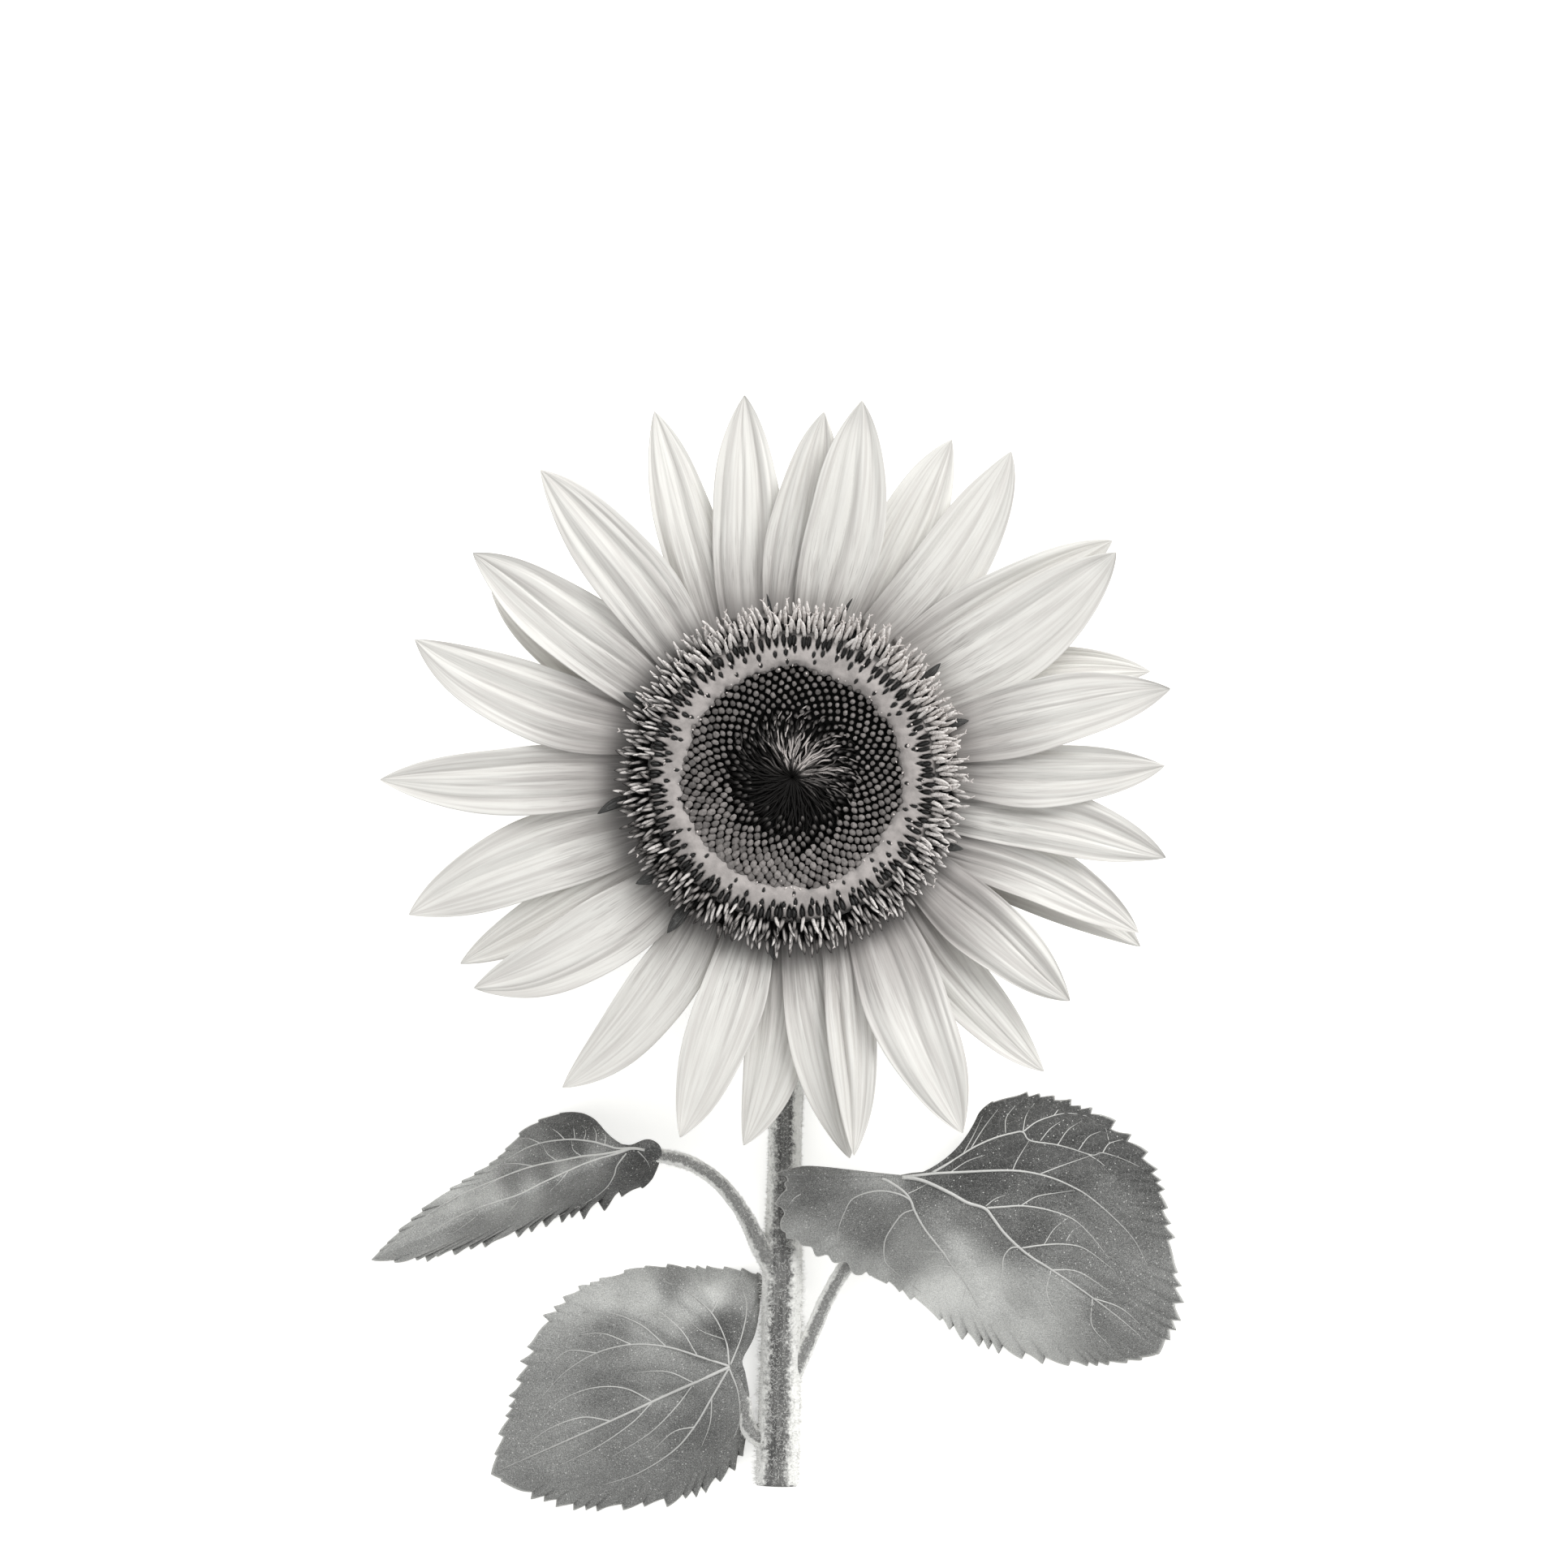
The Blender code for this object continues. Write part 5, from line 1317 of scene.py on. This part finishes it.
# ------------------------------------------------------------------------------------------------------ stem
class StemSettings(bpy.types.PropertyGroup):
    """Hairs and colours of the stem and leaf stalks"""

    hair_count: IntProperty(name="Hairs", description="On the stem", default=12500, min=0)
    hair_length: length_setting("Hair length", 0.75, "Of most hairs")
    colour: colour_setting("Colour", grey(0.16), "Skin")
    shade_colour: colour_setting("Streaks", grey(0.06), "Darker streaks of the skin")
    fuzz_colour: colour_setting("Fuzz", grey(0.42), "Fine down on the skin")


def hairy_tube(name, line, sides, rings, ridges, nodes, slot, hair_count, hair_length, seed, downy=0.0):
    """A ridged and streaked tube along (x, y, height, radius) points, and its hairs as another piece."""
    dice = np.random.default_rng(seed)
    path = smooth_line(line, rings)
    axes, radius = path[None, :, :3], path[None, :, 3]
    points, faces = rods(axes, radius, np.array(((1.0, 0.12, 0.0),)), sides)
    turn = np.arange(sides) * 2 * math.pi / sides
    t = np.linspace(0, 1, rings)[:, None]
    lumps = 0.028 * np.cos(ridges * turn + 2.5 * np.sin(5 * t)) + 0.012 * np.cos(2 * ridges * turn + 21 * t)
    lumps = lumps + 0.02 * np.sin(37 * t + 2 * turn) * np.sin(11 * t)
    centre = axes[:, :, None]
    points = centre + (points - centre) * (1 + lumps)[None, ..., None]
    points[..., 2] = np.maximum(points[..., 2], 0.26)
    away = unit(points - centre)
    run = unit(np.gradient(path[:, :3], axis=0))
    # Painted sheen: the flank mark is highest on the two sides of the tube seen from above, more on one side,
    # less underneath.
    side = -(away * np.cross(run, (0, 0, 1.0))[None, :, None]).sum(3)
    flank = (np.abs(side) + 0.14 * side) * np.clip(1.1 + 1.8 * away[..., 2], 0.3, 1)
    marks = {"round": turn / (2 * math.pi), "along": t, "flank": flank, "downy": downy}
    piece(name, points, faces, finish("stem_skin"), slot, nodes, **marks)

    # More hairs stand on the two flanks than along the top.
    ring = dice.integers(1, rings - 1, hair_count)
    bearing = dice.normal(0, 1.1, hair_count) + math.pi * dice.integers(0, 2, hair_count)
    spoke = np.round(bearing / (2 * math.pi) * sides).astype(int) % sides
    roots = points[0, ring, spoke]
    normals = unit(roots - axes[0, ring])
    roots = roots + dice.uniform(-0.4, 0.4, roots.shape)
    skin = radius[0, ring] * (1 + lumps[ring, spoke])
    roots = roots + normals * (skin - np.linalg.norm(roots - axes[0, ring], axis=1))[:, None]
    keep = roots[:, 2] > 1.2
    roots, normals = roots[keep], normals[keep]
    lengths = (
        hair_length * dice.uniform(0.5, 1.3, len(roots))
        * (1 + (1.2 - 1.3 * downy) * smooth_step((t[ring[keep], 0] - 0.6) / 0.2))
    )
    hairs(f"{name}_hairs", roots, normals, lengths, 0.065, finish("hair_pale"), slot, seed + 1)


class SUNFLOWER_OT_stem(bpy.types.Operator):
    """Adds the bent, hairy stem with its cut end"""

    bl_idname = "sunflower.stem"
    bl_label = "Stem"

    def execute(self, context):
        settings = context.scene.sunflower_stem
        length = settings.hair_length / MM
        hairy_tube("stem_skin", STEM_LINE, 48, 220, 9, ["stem"], "stem", settings.hair_count, length, 40)

        # The cut: a slightly domed disc of pith over the end of the tube.
        end, before = (np.array(row[:3]) for row in (STEM_LINE[-1], STEM_LINE[-2]))
        ahead = unit(end - before)
        across = unit(np.cross(ahead, (0, 0, 1.0)))
        upward = np.cross(across, ahead)
        turn = np.linspace(0, 2 * math.pi, 40, endpoint=False)
        share = np.array((0.05, 0.2, 0.4, 0.6, 0.78, 0.9, 0.97, 1.0))[:, None]
        radius = STEM_LINE[-1][3] * 0.985 * share * (1 + 0.02 * np.sin(9 * turn))
        depth = 0.05 + 0.22 * (1 - share**2) - 0.3 * (share > 0.98)
        grid = end + radius[..., None] * (across * np.cos(turn)[:, None] + upward * np.sin(turn)[:, None])
        grid = grid + (ahead * depth[..., None])
        grid[..., 2] = np.maximum(grid[..., 2], 0.27)
        points, faces = sheet(grid, 0.2, ring=True)
        piece("stem_cut", points, faces, finish("cut_pith"), "stem", along=share)
        return {"FINISHED"}


# ---------------------------------------------------------------------------------------------------- leaves
class LeafSettings(bpy.types.PropertyGroup):
    """Teeth, veins and colours of the leaves"""

    tooth_spacing: length_setting("Tooth spacing", 5.0, "Along the margin")
    tooth_depth: length_setting("Tooth depth", 2.5, "Of a full tooth")
    thickness: length_setting("Thickness", 0.5, "Of the blade")
    # Painted light: the colour of the blade's lit parts; the shade colour is its painted shade.
    colour: colour_setting("Colour", grey(0.80, -0.01), "Bleached parts of the blade")
    shade_colour: colour_setting("Shade", grey(0.030, -0.01), "Darker parts of the blade")
    vein_colour: colour_setting("Veins", grey(0.50), "Raised veins")


class Leaf:
    """One leaf: rings of points from its base out to the toothed margin, and the veins that lie on them."""

    def __init__(self, row, settings, seed):
        self.row, self.settings, self.seed = row, settings, seed
        self.base = np.array(row["base"], float)
        outline = np.array(row["outline"], float)
        edge = smooth_line(np.vstack([outline, outline[:1]]), LEAF_SPOKES + 1)[:-1]
        self.edge, self.margin, self.tooth = edge[:, :2], edge[:, 2], np.clip(edge[:, 3], 0, 1.4)
        ahead = np.roll(self.edge, -1, 0) - np.roll(self.edge, 1, 0)
        self.run = np.cumsum(np.linalg.norm(ahead, axis=1)) / 2
        self.outward = unit(np.stack([ahead[:, 1], -ahead[:, 0]], -1))
        lines = [smooth_line(np.array(points, float), 10 * len(points)) for _, *points in row["veins"]]
        self.vein_marks = np.concatenate(lines)
        self.grid, self.rim = self.rings()

    def teeth(self):
        """How far the margin stands out at each spoke: saw teeth that point to the tip."""
        middle = int(np.argmin(np.linalg.norm(self.edge - self.base[:2], axis=1)))
        beat = np.abs(self.run - self.run[middle]) / (self.settings.tooth_spacing / MM)
        beat = beat + 0.45 * np.sin(beat * 0.83 + self.seed) + 0.22 * np.sin(beat * 2.1)
        size = np.random.default_rng(self.seed).uniform(0.6, 1.2, 200)[np.floor(beat).astype(int) % 200]
        saw = (beat % 1.0) ** 1.2 * size
        return self.settings.tooth_depth / MM * (saw - 0.38) * self.tooth

    def rings(self):
        """Grid of the blade's middle surface, ring by ring, and how near each point is to the rim."""
        ring = 0.012 + 0.988 * (np.linspace(0, 1, LEAF_RINGS + 1) ** 0.85)[:, None]
        rays = self.edge - self.base[:2]
        flat = self.base[:2] + ring[..., None] * rays
        x, y, amount, reach = self.row.get("bend", (0.0, 0.0, 0.0, 1.0))
        length = np.linalg.norm(rays, axis=1)
        curve = amount * np.exp(-((np.linalg.norm(self.edge - (x, y), axis=1) / reach) ** 2))
        curve = curve * np.minimum(length / math.dist((x, y), self.base[:2]), 1) ** 2
        aside = np.stack([-rays[:, 1], rays[:, 0]], -1) / length[:, None]
        flat = flat + (4 * ring * (1 - ring) * curve)[..., None] * aside
        flat = flat + (ring**12 * self.teeth())[..., None] * self.outward
        fold = 0.0
        for rise, width, *points in self.row["folds"]:
            crest = smooth_line(np.array(points, float), 12 * len(points))
            fold = fold + rise * np.exp(-((nearest(flat, crest) / width) ** 2))
        swelling = (
            0.62 * (1 - np.exp(-((nearest(flat, self.vein_marks) / 2.2) ** 2)))
            * smooth_step((1.04 - ring) / 0.2)
        )
        turn = self.run / self.run[-1] * 2 * math.pi
        frill = (
            0.5 * (np.sin(11 * turn + self.seed) + 0.6 * np.sin(19 * turn + 2 * self.seed))
            * smooth_step((ring - 0.6) / 0.4)
        )
        level = self.base[2] - (self.base[2] - self.margin) * ring**LEAF_FALL
        near_base = smooth_step((np.linalg.norm(flat - self.base[:2], axis=2) - 1.5) / 5)
        height = level + near_base * (fold + swelling + frill) * np.clip(level / 5, 0.35, 1)
        grid = np.concatenate([flat, np.maximum(height, 0.55)[..., None]], -1)
        return grid, smooth_step((ring - 0.96) / 0.04) + 0 * height

    def paleness(self, x, y):
        """Painted light and shade of the blade at each point, blended between the pale and dark spots."""
        weights, total = 0.0, 0.0
        for spot_x, spot_y, value in self.row["pale"]:
            weight = 1 / ((x - spot_x) ** 2 + (y - spot_y) ** 2 + 16.0) ** 2
            weights, total = weights + weight, total + weight * value
        return total / weights

    def vein_rods(self):
        """Half-sunk tapered rods along the veins, as one list of points and faces."""
        surface = self.grid.reshape(-1, 3)
        tree = KDTree(len(surface))
        for index, (x, y, _) in enumerate(surface):
            tree.insert((x, y, 0), index)
        tree.balance()
        points, faces, along = [], [], []
        for start, *line in self.row["veins"]:
            path = smooth_line(np.array(line, float), 8 * len(line))
            height = [np.mean([surface[index, 2] for _, index, _ in tree.find_n((x, y, 0), 4)])
                for x, y in path]
            height = np.convolve(np.pad(height, 2, "edge"), np.full(5, 0.2), "valid")
            t = np.linspace(0, 1, len(path))
            radius = (start * (1 - t) ** 0.8 + 0.12) * 0.60
            axis = np.column_stack([path, height + 0.26])
            rod, walls = rods(axis[None], radius[None], np.array(((0.0, 0.0, 1.0),)), 8)
            offset = sum(len(block) for block in points)
            points.append(rod.reshape(-1, 3))
            faces += [[offset + corner for corner in face] for face in walls]
            along.append(np.repeat(t, 8))
        return np.concatenate(points), faces, np.concatenate(along)


class SUNFLOWER_OT_leaves(bpy.types.Operator):
    """Adds the toothed leaves, their raised veins and their hairy stalks"""

    bl_idname = "sunflower.leaves"
    bl_label = "Leaves"

    def execute(self, context):
        settings, stem = context.scene.sunflower_leaves, context.scene.sunflower_stem
        for seed, (name, row) in enumerate(LEAVES.items(), 60):
            leaf = Leaf(row, settings, seed)
            grid, rim = leaf.grid, leaf.rim
            points, faces = sheet(grid, settings.thickness / MM, ring=True)
            pale = leaf.paleness(grid[..., 0], grid[..., 1])
            marks = {"pale": pale, "rim": rim, "under": np.array((0.0, 1.0))[:, None, None]}
            piece(f"{name}_blade", points, faces, finish("leaf_skin"), "leaf", [name], **marks)
            points, faces, along = leaf.vein_rods()
            piece(f"{name}_veins", points, faces, finish("vein_pale"), "leaf", along=along)
            length = stem.hair_length / MM * 0.7
            hairy_tube(f"{name}_stalk", row["stalk"], 24, 90, 5, (), "leaf", stem.hair_count // 6, length,
                70 + seed, 0.8)
        return {"FINISHED"}


# --------------------------------------------------------------------------------------------------- studio
class StageSettings(bpy.types.PropertyGroup):
    """Camera, lights and floor"""

    view_width: FloatProperty(name="View width", description="Seen at the petals", default=0.4444,
        unit="LENGTH")
    view_height: FloatProperty(name="Camera height", description="Above the petals", default=3.0,
        unit="LENGTH")
    key_power: FloatProperty(name="Key light", description="Power in watts", default=44.0)
    fill_power: FloatProperty(name="Fill light", description="Power in watts", default=8.0)
    sky: FloatProperty(name="Sky", description="Strength of the even light from all round", default=0.66)


class SUNFLOWER_OT_stage(bpy.types.Operator):
    """Adds the floor, the lights and the camera that looks straight down"""

    bl_idname = "sunflower.stage"
    bl_label = "Studio"

    def area_light(self, name, place, power, size):
        light = bpy.data.lights.new(name, "AREA")
        light.energy = power
        light.shape = "DISK"
        light.size = size
        made = bpy.data.objects.new(name, light)
        made.location = place
        aim = Vector((HEAD[0], HEAD[1], 0.03)) - Vector(place)
        made.rotation_euler = aim.to_track_quat("-Z", "Y").to_euler()
        bpy.context.scene.collection.objects.link(made)

    def execute(self, context):
        scene, settings = context.scene, context.scene.sunflower_stage
        mesh = bpy.data.meshes.new("floor")
        mesh.from_pydata([(-6, -6, 0), (6, -6, 0), (6, 6, 0), (-6, 6, 0)], [], [(0, 1, 2, 3)])
        mesh.materials.append(finish("floor_paint"))
        floor = bpy.data.objects.new("floor", mesh)
        scene.collection.objects.link(floor)

        self.area_light("key_light", (HEAD[0] + 1.05, HEAD[1] + 1.35, 1.35), settings.key_power, 1.6)
        self.area_light("fill_light", (HEAD[0] - 1.3, HEAD[1] - 0.7, 1.6), settings.fill_power, 1.6)
        world = bpy.data.worlds.new("sky")
        world.use_nodes = True
        world.node_tree.nodes["Background"].inputs["Color"].default_value = (1, 1, 1, 1)
        world.node_tree.nodes["Background"].inputs["Strength"].default_value = settings.sky
        scene.world = world
        scene.view_settings.view_transform = "Standard"

        camera = bpy.data.cameras.new("camera")
        camera.lens = camera.sensor_width * settings.view_height / settings.view_width
        camera.clip_end = 50
        seen = bpy.data.objects.new("camera", camera)
        seen.location = (HEAD[0] - 2.3 * MM, HEAD[1] - 1.84 * MM, 0.043 + settings.view_height)
        scene.collection.objects.link(seen)
        scene.camera = seen
        return {"FINISHED"}


# -------------------------------------------------------------------------------------------------- the panel
SETTINGS = {
    "sunflower_petals": PetalSettings, "sunflower_disc": DiscSettings, "sunflower_stem": StemSettings,
    "sunflower_leaves": LeafSettings, "sunflower_stage": StageSettings,
}
OPERATORS = (
    SUNFLOWER_OT_petals, SUNFLOWER_OT_centre_florets, SUNFLOWER_OT_pollen_band, SUNFLOWER_OT_open_florets,
    SUNFLOWER_OT_plate, SUNFLOWER_OT_bracts, SUNFLOWER_OT_stem, SUNFLOWER_OT_leaves, SUNFLOWER_OT_stage,
)


class SUNFLOWER_PT_panel(bpy.types.Panel):
    """Lists the sunflower's pieces and their settings"""

    bl_idname = "SUNFLOWER_PT_panel"
    bl_label = "Cut sunflower"
    bl_space_type = "VIEW_3D"
    bl_region_type = "UI"
    bl_category = "Sunflower"

    def draw(self, context):
        for operator in OPERATORS:
            self.layout.operator(operator.bl_idname)
        for name, group in SETTINGS.items():
            box = self.layout.box()
            box.label(text=group.__doc__)
            for key in group.__annotations__:
                box.prop(getattr(context.scene, name), key)


CLASSES = (*SETTINGS.values(), *OPERATORS, SUNFLOWER_PT_panel)


def register():
    for cls in CLASSES:
        bpy.utils.register_class(cls)
    for name, group in SETTINGS.items():
        setattr(bpy.types.Scene, name, PointerProperty(type=group))


def unregister():
    for name in SETTINGS:
        delattr(bpy.types.Scene, name)
    for cls in reversed(CLASSES):
        bpy.utils.unregister_class(cls)


def main():
    register()
    for operator in OPERATORS:
        group, name = operator.bl_idname.split(".")
        getattr(getattr(bpy.ops, group), name)()


if __name__ == "__main__":
    main()
